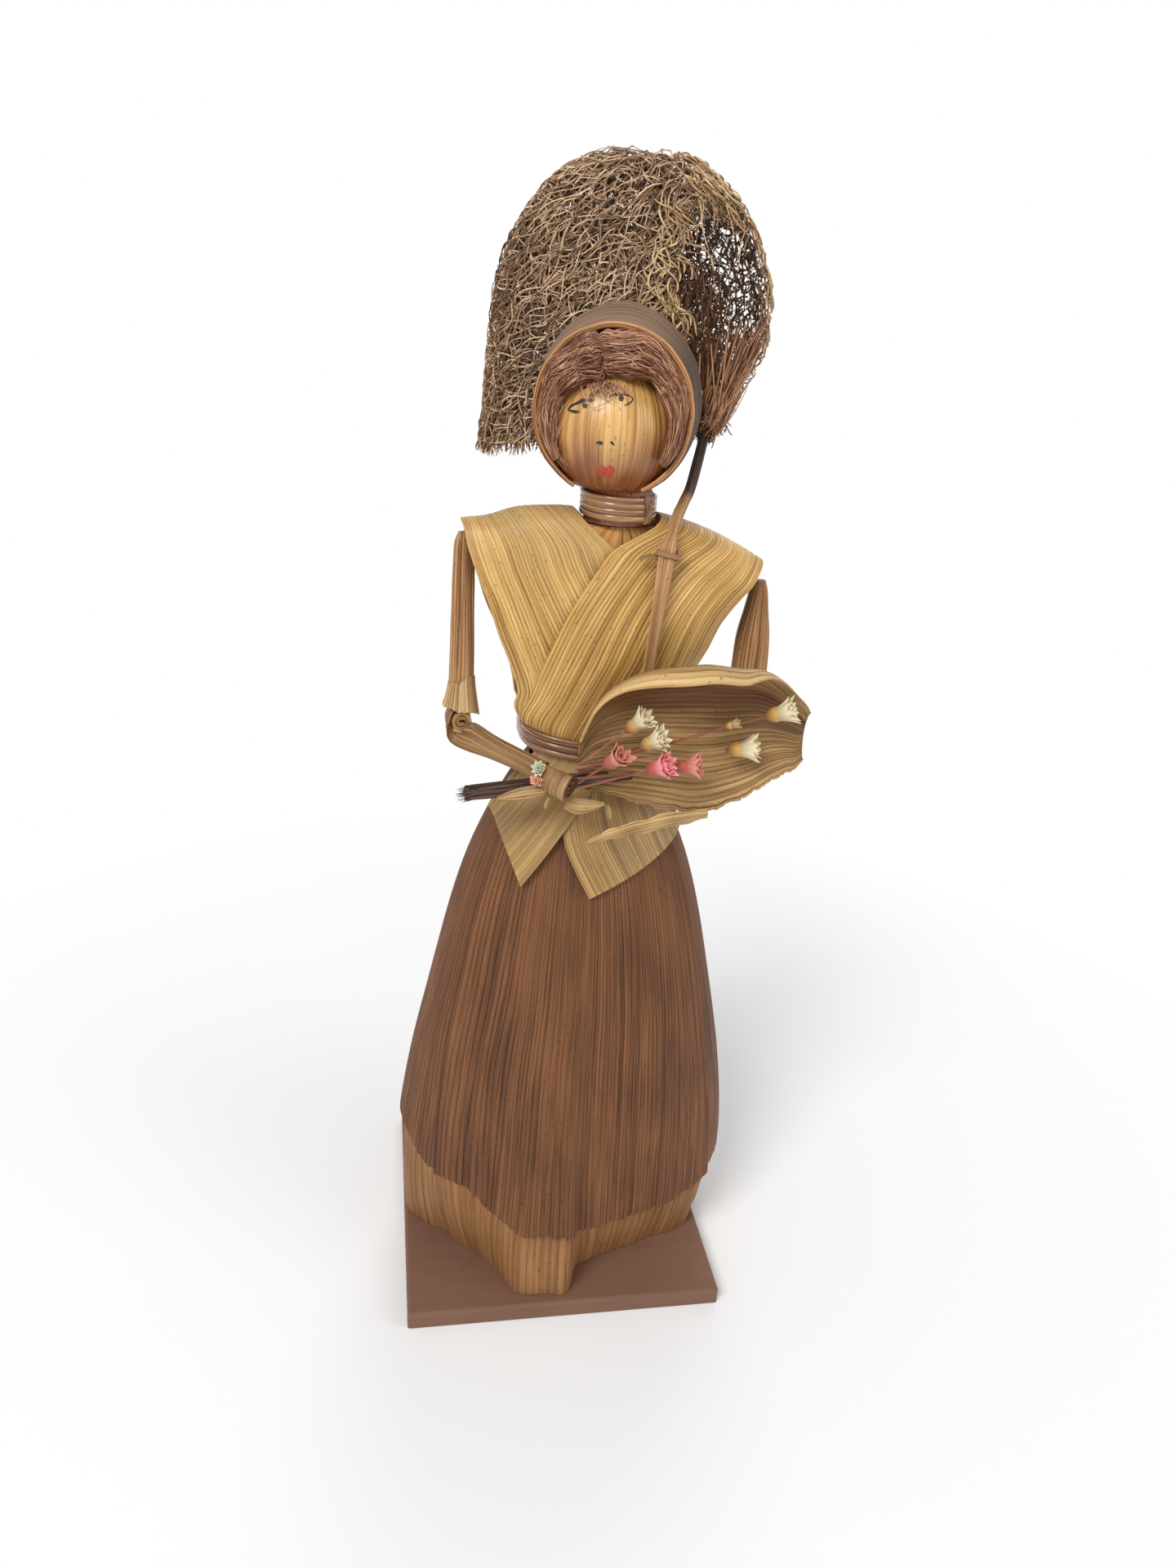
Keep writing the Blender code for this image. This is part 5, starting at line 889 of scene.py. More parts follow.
def make_head():
    """The husk drawn over the ball, gathered in pleats at the neck, with its painted face."""
    turns = TAU * np.arange(310) / 310
    rows = 112
    flat = math.asin(NECK_RADIUS / HEAD_RADIUS)
    polar = np.linspace(0.03 * math.pi, math.pi - flat, rows)
    neck = SHOULDER + 0.0003 + 0.00125 * 5 + 0.0008 + SEAT
    radius = HEAD_RADIUS * np.sin(polar)
    centre = np.tile(HEAD, (rows, 1))
    centre[:, 2] += HEAD_RADIUS * np.cos(polar)
    ease = np.clip((np.arange(rows) - rows * 0.9) / (rows * 0.1), 0, 1) ** 2
    target = np.array([NECK_X, 0, neck])
    centre = centre + (target - centre[-1]) * ease[:, None]
    radius = mix(radius, NECK_RADIUS, ease)
    centre = np.concatenate([centre, [[NECK_X, 0, z] for z in np.linspace(neck, SHOULDER - 0.00017, 12)[1:]]])
    radius = np.concatenate([radius, np.full(11, NECK_RADIUS)])
    ring = np.stack([np.sin(turns), -np.cos(turns), 0 * turns], -1)
    grid = centre[:, None] + radius[:, None, None] * ring[None]
    share = np.clip((np.arange(len(grid)) / rows - 0.72) / 0.28, 0, 1)[:, None]
    pleats = 0.0
    places = [0.16, -0.45, -0.12, 0.62, -0.85, 1.05, -1.35, 1.5, 2.0, -1.9, 2.6, -2.5, 3.1]
    for k, spot in enumerate(places):
        lean = spot + 0.18 * math.sin(k * 2.3) * (1 - share)
        away = np.remainder(turns[None] - lean + math.pi, TAU) - math.pi
        pleats = pleats - np.exp(-(away / (0.035 + 0.02 * share)) ** 2) * (0.3 + 0.25 * math.sin(k * 1.7))
        pleats = pleats + 0.5 * np.exp(-((away - 0.13) / 0.1) ** 2) * 0.4
    neck_fade = np.clip((len(grid) - 10 - np.arange(len(grid))) / 8, 0, 1)[:, None]
    lift = pleats * share ** 1.5 * 0.8 * MM * neck_fade
    height = (grid[..., 2] - HEAD[2]) / HEAD_RADIUS
    # Darker and redder towards the chin: partly the husk's own colour, partly painted shade under the head.
    low = np.clip(0.4 - height * 1.1 + 0.3 * noise(turns[None] * 5, height, 12), 0, 1) ** 1.4
    husk("head_husk", grid, HEAD, "face", "head", "husk_face", **CLOSED, pitch=0.8,
         rib=0.16, seed=90, low=low, lift=lift)
    parts = []
    for number, stroke in enumerate(ink_strokes):
        line = resample(np.array(stroke), 22, 0)
        heading = unit(np.gradient(line[:, :2], axis=0))
        across = np.stack([-heading[:, 1], heading[:, 0]], -1)
        ragged = 1 + 0.22 * noise(np.arange(22) / 1.7, number, 77)
        flat_rows = [line[:, :2] + across * (line[:, 2] * ragged * 0.85 * side)[:, None]
                     for side in (-1, -0.4, 0.4, 1)]
        rows_ink = np.stack([head_front(part[:, 0], part[:, 1], 0.11 * MM) for part in flat_rows], 1)
        parts.append(husk_part(rows_ink, HEAD, thick=0.08 * MM, rib=0.0, seed=5))
    link("face_ink", parts, ("ink",), "head")
    lines = resample(np.array(lip_columns), 60, 0)
    gap = 1 + 0.14 * noise(np.arange(60) / 2.2, 0, 13)
    shares = np.linspace(0, 1, 12)
    middle = (lines[:, 1] + lines[:, 2]) / 2
    rows_lip = [head_front(lines[:, 0], middle + (lines[:, 1] - middle) * (1 - 2 * share) * gap, 0.1 * MM)
                for share in shares]
    husk("lips", np.stack(rows_lip, 0), HEAD, "lips", "head", "husk_face", thick=0.08 * MM, rib=0.05,
         pitch=0.5, seed=14)


def bonnet_points(behind, radius, turn):
    """Points round the bonnet's axis; turn 0 is at the top and grows towards the doll's left."""
    behind, radius, turn = np.broadcast_arrays(behind, radius, turn)
    deep = np.clip(behind / BONNET_LENGTH, 0, 1)
    across = radius * (0.955 - 0.07 * deep ** 0.7) * np.sin(turn)
    rise = radius * np.cos(turn) + BONNET_LENGTH * 0.22 * deep ** 3
    return (BONNET_MIDDLE + BONNET_AXIS * behind[..., None] + BONNET_SIDE * across[..., None]
            + UP * rise[..., None])


def make_bonnet():
    """The stiff hood: its veins run round the rim, its edge is turned in and its back is gathered."""
    spread = np.linspace(-1, 1, 250)[:, None]
    share = np.linspace(0, 1, 74)[None] ** 1.05
    turn = np.radians(153 - 14 * np.clip(share / 0.16, 0, 1) ** 1.5) * spread
    radius = BONNET_RADIUS * smooth(bonnet_shares, share)
    gathers = 0.55 * MM * np.clip((share - 0.55) / 0.45, 0, 1) * np.sin(turn * 17 + 2 * noise(turn * 3, 0, 4))
    sway = 0.25 * MM * noise(turn * 2.5, share * 4, 21)
    grid = bonnet_points(BONNET_LENGTH * share, radius + gathers * np.sin(np.pi * share) + sway, turn)
    # Painted shade: darker towards the doll's left side, away from the light.
    shade = np.clip((turn - 0.35) / 0.7, 0, 1) + 0 * share
    husk("bonnet", grid, HEAD, "bonnet", "head", "husk_grey", also=("lining",), inner=1, rim=1,
         thick=0.8 * MM, pitch=1.5, rib=0.14, seed=101, low=shade)
    edge = np.linspace(0, 1, 12)[None]
    turn = math.radians(154) * spread
    thin = (1 - 0.45 * np.abs(spread) ** 6) * 0.75 * MM
    radius = BONNET_RADIUS * 0.89 - 0.45 * MM + thin * np.cos(edge * 4.2)
    behind = 0.15 * MM - thin * np.sin(edge * 4.2)
    wobble = 1 + 0.006 * noise(turn * 6, 0, 33)
    husk("bonnet_rim", bonnet_points(behind, radius * wobble, turn), HEAD + np.array([0, 0.02, 0]),
         "lining", "head", "husk_grey", thick=0.25 * MM, pitch=0.6, rib=0.08, seed=102)


def make_hair():
    """Two bunches of combed fibres that meet above the forehead, with stray strands."""
    parting = math.radians(-15)
    for number, (name, end) in enumerate((("hair_right", math.radians(-128)),
                                          ("hair_left", math.radians(126)))):
        start = parting - math.copysign(math.radians(4), end)

        def place(share, ring, reach):
            turn = mix(start, end, share)
            radius = (BONNET_RADIUS * smooth(hair_shares, share, 1)
                      + 0.2 * MM * np.exp(-(share / 0.05) ** 2))
            full = np.clip(0.62 + share / 0.15, 0, 1) * (1 + 0.1 * np.sin(share * 19 + number * 2))
            half = BONNET_RADIUS * smooth(hair_shares, share, 2) * full
            centre = bonnet_points(-0.15 * HAIR_DEPTH + 0 * share, radius, turn)
            outward = unit(bonnet_points(0 * share, BONNET_RADIUS + 0 * share, turn)
                           - bonnet_points(0 * share, 0 * share, turn))
            deep = HAIR_DEPTH * mix(1, 0.6, share) * full
            made = (centre + outward * (half * reach * np.cos(ring))[..., None]
                    + BONNET_AXIS * (deep * reach * np.sin(ring))[..., None])
            away = made - HEAD
            far = np.linalg.norm(away, axis=-1, keepdims=True)
            return np.where(far < HEAD_RADIUS + 0.15 * MM, HEAD + away / far * (HEAD_RADIUS + 0.15 * MM),
                            made)

        share, ring = np.meshgrid(np.linspace(0, 1, 40), TAU * np.arange(28) / 28, indexing="ij")
        body = husk_part(place(share, ring, 0.84 + 0 * share), HEAD, **CLOSED, rib=0.25, pitch=0.8,
                         seed=111 + number)
        # The bunch's core is kept darker than the fibres over it: painted shade beneath them.
        body["vein"] = body["vein"] * 0.3
        count = 1150
        long = np.linspace(0, 1, 11)[None]
        first = rng.random((count, 1)) ** 2 * 0.8
        last = np.minimum(first + 0.2 + 0.5 * rng.random((count, 1)), 1.02)
        shares = mix(first, last, long)
        clump = rng.integers(0, 60, (count, 1))
        rings = clump * 2.4 + 0.22 * rng.normal(size=(count, 1)) + 0.5 * (rng.random((count, 1)) - 0.5) * long
        rings = rings + 0.3 * noise(shares * 6, clump, 55) + 0.5 * shares
        reach = 0.87 + 0.2 * rng.random((count, 1)) + 0.13 * noise(shares * 14, np.arange(count)[:, None], 56)
        tones = np.clip(0.42 + 0.4 * noise(clump[:, 0] * 1.7, 0, 57) + 0.2 * rng.normal(size=count), 0, 1)
        fibres = fibre_part(place(shares, rings, reach), 0.1 * MM * taper(11), 3, tones)
        link(name, [body, fibres], ("hair",), "head")
    wisps = []
    t = np.linspace(0, 1, 12)
    for k in range(90):
        x = -4.4 + rng.normal() * 2.2
        z = 12.0 - 0.12 * abs(x + 4) ** 1.4
        fall = 1.2 + 3.2 * rng.random() ** 1.5
        bend = rng.normal() * 2.0
        wisps.append(head_front(x + bend * t ** 1.6, z - fall * t,
                                (0.25 + 2.0 * rng.random()) * MM * (1 - t * 0.6)))
    for k in range(70):
        side = -1 if k % 3 else 1
        z = (9.0 if side > 0 else 8.0) - 13 * rng.random() - 4.5 * t
        rim = np.sqrt(np.maximum(15.6 ** 2 - z ** 2, 20)) * (0.93 if side > 0 else 0.985)
        x = side * (rim + 0.5 * rng.normal()) + 0.45 * np.sin(z / 1.2 + rng.random() * 6)
        wisps.append(head_front(np.clip(x, -15.8, 15.2), z, (0.2 + 1.2 * rng.random()) * MM))
    loose = [(-3.2, 8.9), (-3.4, 8.2), (-4.5, 7.6), (-5.6, 6.95), (-7.1, 6.2), (-7.7, 5.65), (-7.0, 5.5),
             (-5.7, 6.0), (-4.8, 6.5)]
    line = resample(np.array(loose), 12, 0)
    wisps.append(head_front(line[:, 0], line[:, 1], 0.3 * MM))
    link("hair_wisps", [fibre_part(np.array(wisps), 0.075 * MM * taper(12))], ("hair",), "head")


# Arms

def arm_tops():
    """The ends of the shoulder wire, right and left."""
    right_x = NECK_X - SHOULDER_HALF * 0.97
    left_x = NECK_X + SHOULDER_HALF
    return (np.array([right_x, 0, shoulder_level(right_x) - 0.0048]),
            np.array([left_x, 0, shoulder_level(left_x) - 0.0048]))


def roll(name, start, end, radius, hollow, turns, up, look, body, slot, seed, phase=0.0, thick=0.42 * MM):
    """A husk rolled up round the line from start to end, its turns showing at both ends."""
    along = unit(end - start)
    side = unit(np.cross(along, up))
    rise = np.cross(side, along)
    angle = np.linspace(0, turns * TAU, int(30 * turns))
    swirl = mix(hollow + thick, radius, np.linspace(0, 1, len(angle)) ** 0.9)
    swirl = swirl + 0.1 * MM * noise(angle * 1.3, seed, 9) * (swirl < radius * 0.97)
    places = np.linspace(0, 1, 26)
    sway = 0.28 * MM * noise(angle[:, None] * 0.8, seed, 15) * np.sign(places - 0.5)[None]
    grid = (start + along * (np.linalg.norm(end - start) * places[None] + sway)[..., None]
            + rise * (swirl * np.cos(angle + phase))[:, None, None]
            + side * (swirl * np.sin(angle + phase))[:, None, None])
    return husk(name, grid, (start + end) / 2, look, body, slot, thick=thick, pitch=1.1, rib=0.08, seed=seed)


def ribbon(course, rows=90, sides=80):
    """A flattened tube; rows hold a place in millimetres, a lean, half a width and half a thickness."""
    line = resample(np.array(course, float), rows, 0)
    lean = np.radians(line[:, 3])
    up = np.stack([0 * lean, np.cos(lean), np.sin(lean)], -1)
    return tube(line[:, :3] * MM, up, line[:, 4] * MM, line[:, 5] * MM, sides, 0.8)


def make_arms():
    """Hanging upper arms, rolled elbows, flat forearms and rolled hands."""
    tops = dict(zip(("right", "left"), arm_tops()))
    for word, half, shape, seed in (("right", ARM_HALF, arm_right_shares, 121),
                                    ("left", LEFT_ARM_HALF, arm_left_shares, 122)):
        top = tops[word]
        elbow = top - UP * ARM_LENGTH
        foot = elbow + UP * (ELBOW_RADIUS + SEAT)
        share = np.linspace(0, 1, 90)
        path = mix(top + UP * 0.0024, foot, share[:, None])
        grid = tube(path, BACK, ARM_DEPTH * smooth(shape, share, 2), half * smooth(shape, share, 1), 110,
                    0.85)
        crease = 0.4 * MM * noise(np.arange(110)[None] / 9, share[:, None] * 3, seed)
        inward = unit(path[:, None] - grid)
        fade = np.sin(np.pi * share)[:, None, None] ** 0.5
        grid = grid + inward * np.maximum(crease, -0.12 * MM)[..., None] * fade
        husk("upper_arm_" + word, grid, (top + elbow) / 2, "amber", f"upper_arm_{word}_body",
             "husk_amber", **CLOSED, pitch=1.0, rib=0.22, seed=seed)
        front = elbow - BACK * 0.0024
        roll("elbow_roll_" + word, front, front + BACK * 0.008, ELBOW_RADIUS, 0.1 * MM, 2.3, UP, "cuff",
             f"forearm_{word}_body", "husk_tan", seed + 10, 2.0, 0.78 * MM)

    # The right forearm, its hand and the flared end of its sleeve
    elbow = tops["right"] - UP * ARM_LENGTH
    grid = elbow + ribbon(forearm_course)
    husk("forearm_right", grid, grid.mean((0, 1)), "sleeve", "forearm_right_body", "husk_tan",
         **CLOSED, pitch=1.1, rib=0.2, seed=141)
    start, end = (elbow + MM * np.array(place) for place in hand_ends)
    roll("hand_right", start, end, 3.5 * MM, 0.5 * MM, 2.3, UP, "sleeve", "forearm_right_body", "husk_tan",
         142, 0.8)
    foot = elbow + UP * (ELBOW_RADIUS + SEAT - 0.4 * MM)
    share = np.linspace(0, 1, 30)
    arm = 1 - CUFF_LENGTH * share / (ARM_LENGTH - ELBOW_RADIUS)
    flare = (1 - share) ** 1.6
    wide = ARM_HALF * smooth(arm_right_shares, arm, 1) + (0.3 + 1.0 * flare) * MM
    deep = ARM_DEPTH * smooth(arm_right_shares, arm, 2) + (0.3 + 0.5 * flare) * MM
    grid = tube(foot + UP * (CUFF_LENGTH * share)[:, None], BACK, deep, wide, 100, 0.88)
    ragged = 0.35 * MM * noise(np.arange(100) / 6, 0, 144) + 0.2 * MM * noise(np.arange(100) / 2, 0, 145)
    slant = (grid[..., 0] - foot[0]) / wide.max()
    grid[..., 2] += (ragged - 1.2 * MM * slant) * ((1 - share) ** 2)[:, None]
    grid[..., 2] += (1.5 * ragged[None] + 1.4 * MM * slant) * (share ** 3)[:, None]
    husk("cuff_right", grid, foot + UP * 0.004, "cuff", "upper_arm_right_body", "husk_gold",
         thick=0.22 * MM, ring=True, pitch=1.0, rib=0.18, seed=146)

    # The left forearm, held across behind the leaf
    elbow = tops["left"] - UP * ARM_LENGTH
    left = elbow + np.array([-0.0145, -0.015, 0.0055])
    start = elbow + np.array([-ELBOW_RADIUS * 0.8, -0.0024 - SEAT - 0.0017, 0])
    share = np.linspace(0, 1, 90)
    path = mix(start, left - unit(left - start) * (0.0032 + 0.0036 * 0.35), share[:, None])
    grid = tube(path, UP, 0.0036 * smooth(forearm_shares, share, 1),
                0.0017 * smooth(forearm_shares, share, 2), 80, 0.8)
    husk("forearm_left", grid, (start + left) / 2, "sleeve", "forearm_left_body", "husk_tan",
         **CLOSED, pitch=1.0, rib=0.16, seed=147)
    roll("hand_left", left - UP * 0.003, left + UP * 0.003, 0.0032, 0.6 * MM, 2.4, BACK, "sleeve",
         "forearm_left_body", "husk_tan", 143)


# Posy

def stem_axis():
    return unit([1, -0.064, 0.142])


def right_hand():
    return arm_tops()[0] + np.array([0.0229, -0.0255, -0.0068 - ARM_LENGTH])


def leaf_root():
    return right_hand() + np.array([HAND_LENGTH / 2 + SEAT + HUSK, 0.0039, SEAT])


def leaf_points(along, height):
    """Points of the leaf; height runs from -1 at the lower edge to 1 at the upper edge."""
    middle = smooth(leaf_shares, along, 1)
    half = smooth(leaf_shares, along, 2)
    rim = np.abs(height) ** 2.2 * half * np.where(height > 0, 1, 0.75)
    forward = LEAF_CUP * (smooth(leaf_back_shares, along) + rim)
    return leaf_root() + np.stack([LEAF_LENGTH * along + 0 * height, -forward,
                                   LEAF_HALF_HEIGHT * (middle + height * half)], -1)


def make_leaf():
    """The husk fan behind the flowers, its rim folded over, and the torn strip below it."""
    along = np.linspace(0, 1, 112)[:, None]
    height = np.linspace(-1, 1, 150)[None]
    curl = np.clip((height - 0.72) / 0.28, 0, 1)
    flat = np.minimum(height, 0.72 + 0.15 * curl)
    grid = leaf_points(along + 0 * height, flat + 0 * along)
    radius = 3.0 * MM * smooth([(0, 0.15), (0.1, 0.5), (0.3, 1.0), (0.6, 1.0), (0.85, 0.6), (1, 0.25)], along)
    turn = curl * (1.2 + 2.3 * np.clip((1.05 - along) / 0.4, 0, 1))
    grid[..., 2] += radius * np.sin(turn)
    grid[..., 1] -= radius * (1 - np.cos(turn))
    torn = 0.8 * MM * noise(along * 26, 0, 17) + 0.4 * MM * noise(along * 90, 0, 18)
    grid[..., 2] += torn * np.clip((-height - 0.9) / 0.1, 0, 1)
    cup = np.sin(np.pi * np.clip(along, 0, 1)) * np.cos(np.pi / 2 * np.clip(height, -1, 1))
    buckle = 0.45 * MM * noise(height * 3.3, along * 2, 19) * np.sin(np.pi * along)
    grid[..., 1] += buckle + 1.2 * MM * cup
    # Painted shade: a dark band under the rolled rim and a darker root; the curled rim takes the paler
    # colours, the husk's back side with a painted highlight; the lower part is kept lighter.
    peak = 0.62 - 0.22 * along
    shade = 1.15 * np.exp(-((height - peak) / (0.34 - 0.08 * along)) ** 2) * np.clip(0.25 + along * 5, 0, 1)
    shade = shade + 0.25 * np.clip(1 - along * 4, 0, 1) * (height > -0.5)
    shade = shade + 0.2 * noise(height * 6, along * 2, 24)
    shade = np.clip(shade, 0, 1) * (1 - curl) - curl * 1.2 * np.clip(1.35 - along, 0.25, 1)
    shade = np.where(height < -0.35, np.minimum(shade, 0.15 + 0.3 * (height < -0.9)), shade)
    husk("bouquet_leaf", grid, leaf_root() + np.array([0.03, 0.03, 0.01]), "leaf", "forearm_right_body",
         "husk_gold", thick=0.45 * MM, pitch=1.45, rib=0.34, seed=151, low=shade)
    rows = []
    place = np.linspace(-1, 1, 24)
    for step, forward, high, half in strip_shares:
        centre = leaf_root() + np.array([LEAF_LENGTH * step, -LEAF_CUP * forward, LEAF_HALF_HEIGHT * high])
        rows.append(centre + np.stack([0 * place, -0.9 * MM * (1 - place ** 2) * (1 - step),
                                       LEAF_HALF_HEIGHT * half * place], -1))
    grid = resample(rows, 60, 0)
    grid[..., 2] += (0.4 * MM * noise(np.arange(60) / 5, 0, 23))[:, None] * np.abs(place)[None] ** 3
    # The strip takes the leaf's paler colours: the husk's paler back, partly painted light.
    husk("leaf_strip", grid, leaf_root() + np.array([0.02, 0.03, -0.01]), "leaf", "forearm_right_body",
         "husk_gold", thick=0.45 * MM, pitch=0.9, rib=0.2, seed=152,
         low=-0.35 + 0.3 * noise(np.arange(60) / 9, 0, 26)[:, None] + 0 * place[None])


def petal_part(foot, along, outward, length, width, opening, material):
    """One pointed petal, cupped across and bent outwards along its length."""
    t = np.linspace(0, 1, 9)
    lean = opening * (0.35 + 0.9 * t)
    steps = along * np.cos(lean)[:, None] + outward * np.sin(lean)[:, None]
    spine = foot + np.concatenate([[np.zeros(3)], np.cumsum(steps[:-1], 0)]) * length / 8
    side = np.cross(along, outward)
    half = width * np.sin(np.pi * np.clip(t * 0.8 + 0.13, 0, 1)) ** 0.6 * (1 - t ** 7 * 0.95)
    place = np.linspace(-1, 1, 5)
    inward = -(outward * np.cos(lean)[:, None] - along * np.sin(lean)[:, None])
    grid = (spine[:, None] + side * (half[:, None] * place)[..., None]
            + inward[:, None] * (0.55 * half[:, None] * place ** 2)[..., None])
    part = husk_part(grid, foot + inward[4] * 0.01, thick=0.1 * MM, rib=0.0, seed=3)
    part["vein"] = np.tile(np.repeat(t, 5), 2)
    part["faces"] = [(faces, material) for faces, _ in part["faces"]]
    return part


def bloom(name, start, centre, size, look, petals, body, opening=0.75, tip=(0.0, -0.3, 0.12)):
    """A dried everlasting: a firm foot, three whorls of pointed petals and a thin stalk."""
    along = unit(unit(centre - start) + np.array(tip))
    centre = centre - along * size * 0.35
    helper = UP if abs(along[2]) < 0.8 else BACK
    side = unit(np.cross(along, helper))
    rise = np.cross(side, along)
    t = np.linspace(0, 1, 14)
    foot = centre - along * size * 1.15
    bulge = size * 0.52 * np.sin(np.pi * (t * 0.6 + 0.08)) + 1e-5
    base = husk_part(tube(foot + along * (size * 1.15 * t)[:, None], helper, bulge, bulge, 18), centre,
                     **CLOSED, pitch=0.6, rib=0.16, seed=7)
    base["vein"] = np.repeat(t, 18)
    base["faces"] = [(faces, 1) for faces, _ in base["faces"]]
    parts = [base]
    whorls = ((petals, 1.0, opening), (petals - 1, 0.93, opening * 0.62),
              (max(petals - 3, 4), 0.78, opening * 0.28))
    for whorl, (count, reach, lean) in enumerate(whorls):
        for k in range(count):
            spot = TAU * (k + 0.5 * whorl + 0.3 * rng.random()) / count
            outward = side * math.cos(spot) + rise * math.sin(spot)
            root = centre - along * size * (0.55 - 0.1 * whorl) + outward * size * (0.42 - 0.1 * whorl)
            length = size * 1.65 * reach * (0.88 + 0.24 * rng.random())
            parts.append(petal_part(root, along, outward, length, size * 0.38,
                                    lean * (0.75 + 0.5 * rng.random()), 0))
    line = mix(start, foot + along * size * 0.1, t[:, None])
    line = line + side * (0.35 * MM * np.sin(np.pi * t) * rng.normal())[:, None]
    parts.append(fibre_part(line[None], 0.3 * MM, 6, None, 2))
    foot_look = "red calyx" if look in ("red", "pink", "rose", "coral") else "calyx"
    return link(name, parts, (look, foot_look, "stalk"), body)


def make_posy():
    """The dark stalks through the hand, the flowers and the small bits beside the hand."""
    body = "forearm_right_body"
    hand, along = right_hand(), stem_axis()
    side = unit(np.cross(along, UP))
    rise = np.cross(side, along)
    t = np.linspace(0, 1, 16)
    parts = []
    for first, last, size, seed in ((-0.0236, 0.001, 1.35, 31), (0.0, 0.0118, 1.45, 32)):
        swell = size * MM * (1 + 0.08 * noise(t * 7, 0, seed))
        line = hand + along * mix(first, last, t)[:, None]
        parts.append(husk_part(tube(line, UP, swell, swell, 40), hand, **CLOSED, pitch=0.7, rib=0.3,
                               seed=seed))
    pith = hand + along * np.linspace(0.0114, 0.01185, 16)[:, None]
    parts.append(fibre_part(pith[None], 0.85 * MM, 12, [0.0]))
    lines = []
    for k in range(26):
        spot = k * 2.4
        ends = (-0.0242 + 0.005 * rng.random(), 0.006) if k % 5 else (0.0, 0.0125 + 0.006 * rng.random())
        far = (1.25 if k % 5 else 0.95) * MM * (1 + 0.35 * rng.random())
        bow = (side * rng.normal() + rise * rng.normal()) * 0.2 * MM
        out = side * math.cos(spot) + rise * math.sin(spot)
        lines.append(hand + out * far + along * mix(ends[0], ends[1], t)[:, None]
                     + bow * np.sin(np.pi * t)[:, None])
    parts.append(fibre_part(np.array(lines), (0.3 + 0.14 * rng.random((26, 1))) * MM * np.ones((1, 16)), 6))
    hairs = []
    for k in range(46):
        spread = side * rng.normal() + rise * rng.normal()
        tip = -0.0242 - 0.0016 * rng.random()
        drift = (rise * (rng.normal() * 0.9 - 0.5) + side * rng.normal() * 0.4) * MM
        hairs.append(hand + spread * 0.9 * MM + along * mix(-0.008, tip, t)[:, None]
                     + drift * (t ** 2)[:, None])
    parts.append(fibre_part(np.array(hairs), 0.09 * MM * taper(16), 3, [0.2] * len(hairs)))
    link("stem_bundle", parts, ("stem",), body)

    # The flowers, each from its place round the stalks to its place on the leaf
    face = hand + along * (HAND_LENGTH / 2 + SEAT)
    ring = STEM_RADIUS + SEAT + 0.0008
    for name, away, height, forward, size, turn, look, petals in flowers:
        spot = TAU * turn
        start = face + rise * ring * math.cos(spot) + side * ring * math.sin(spot)
        centre = leaf_root() + np.array([LEAF_LENGTH * away, -LEAF_CUP * forward, LEAF_HALF_HEIGHT * height])
        bud = look == "bud"
        bloom(name, start, centre, FLOWER_RADIUS * size * (0.75 if bud else 0.92), look, petals, body,
              0.3 if bud else 0.5)
    for name, look, place, size, count in (("posy_green", "green", (-5.9, -3.0, 4.9), 1.75, 8),
                                           ("posy_red", "coral", (-6.4, -3.6, 2.0), 1.6, 7)):
        centre = hand + MM * np.array(place)
        bloom(name, centre + MM * np.array([2.0, 1.8, -1.6]), centre, size * MM, look, count, body,
              0.6, (-0.1, -0.6, 0.4))
    parts = []
    for bit in torn_bits:
        ends = np.array(bit, float) * MM
        rows = mix(ends[:, None, :3], ends[:, None, 3:], np.linspace(0, 1, 14)[None, :, None])
        bulge = 0.6 * MM * np.sin(np.pi * np.linspace(0, 1, 14))
        grid = hand + resample(rows, 30, 0)
        grid[..., 1] -= bulge
        # The scraps take the leaf's paler colours, partly painted light.
        parts.append(husk_part(grid, hand + BACK * 0.02, thick=0.3 * MM, pitch=0.9, rib=0.2, seed=161,
                               low=-0.3))
    link("husk_scrap", parts, ("leaf",), body)


# Parasol

def tie_place():
    x = NECK_X + SHOULDER_HALF * 0.27
    z = WAIST + TORSO_HEIGHT * 0.935
    lift = LAYER_GAP + LAYER + SEAT + HUSK + SEAT + 0.0008 + SEAT + STICK_RADIUS
    return np.array([x, -(float(drape_depth(x, shoulder_level(x) - SHOULDER_ROUND)) + lift), z])


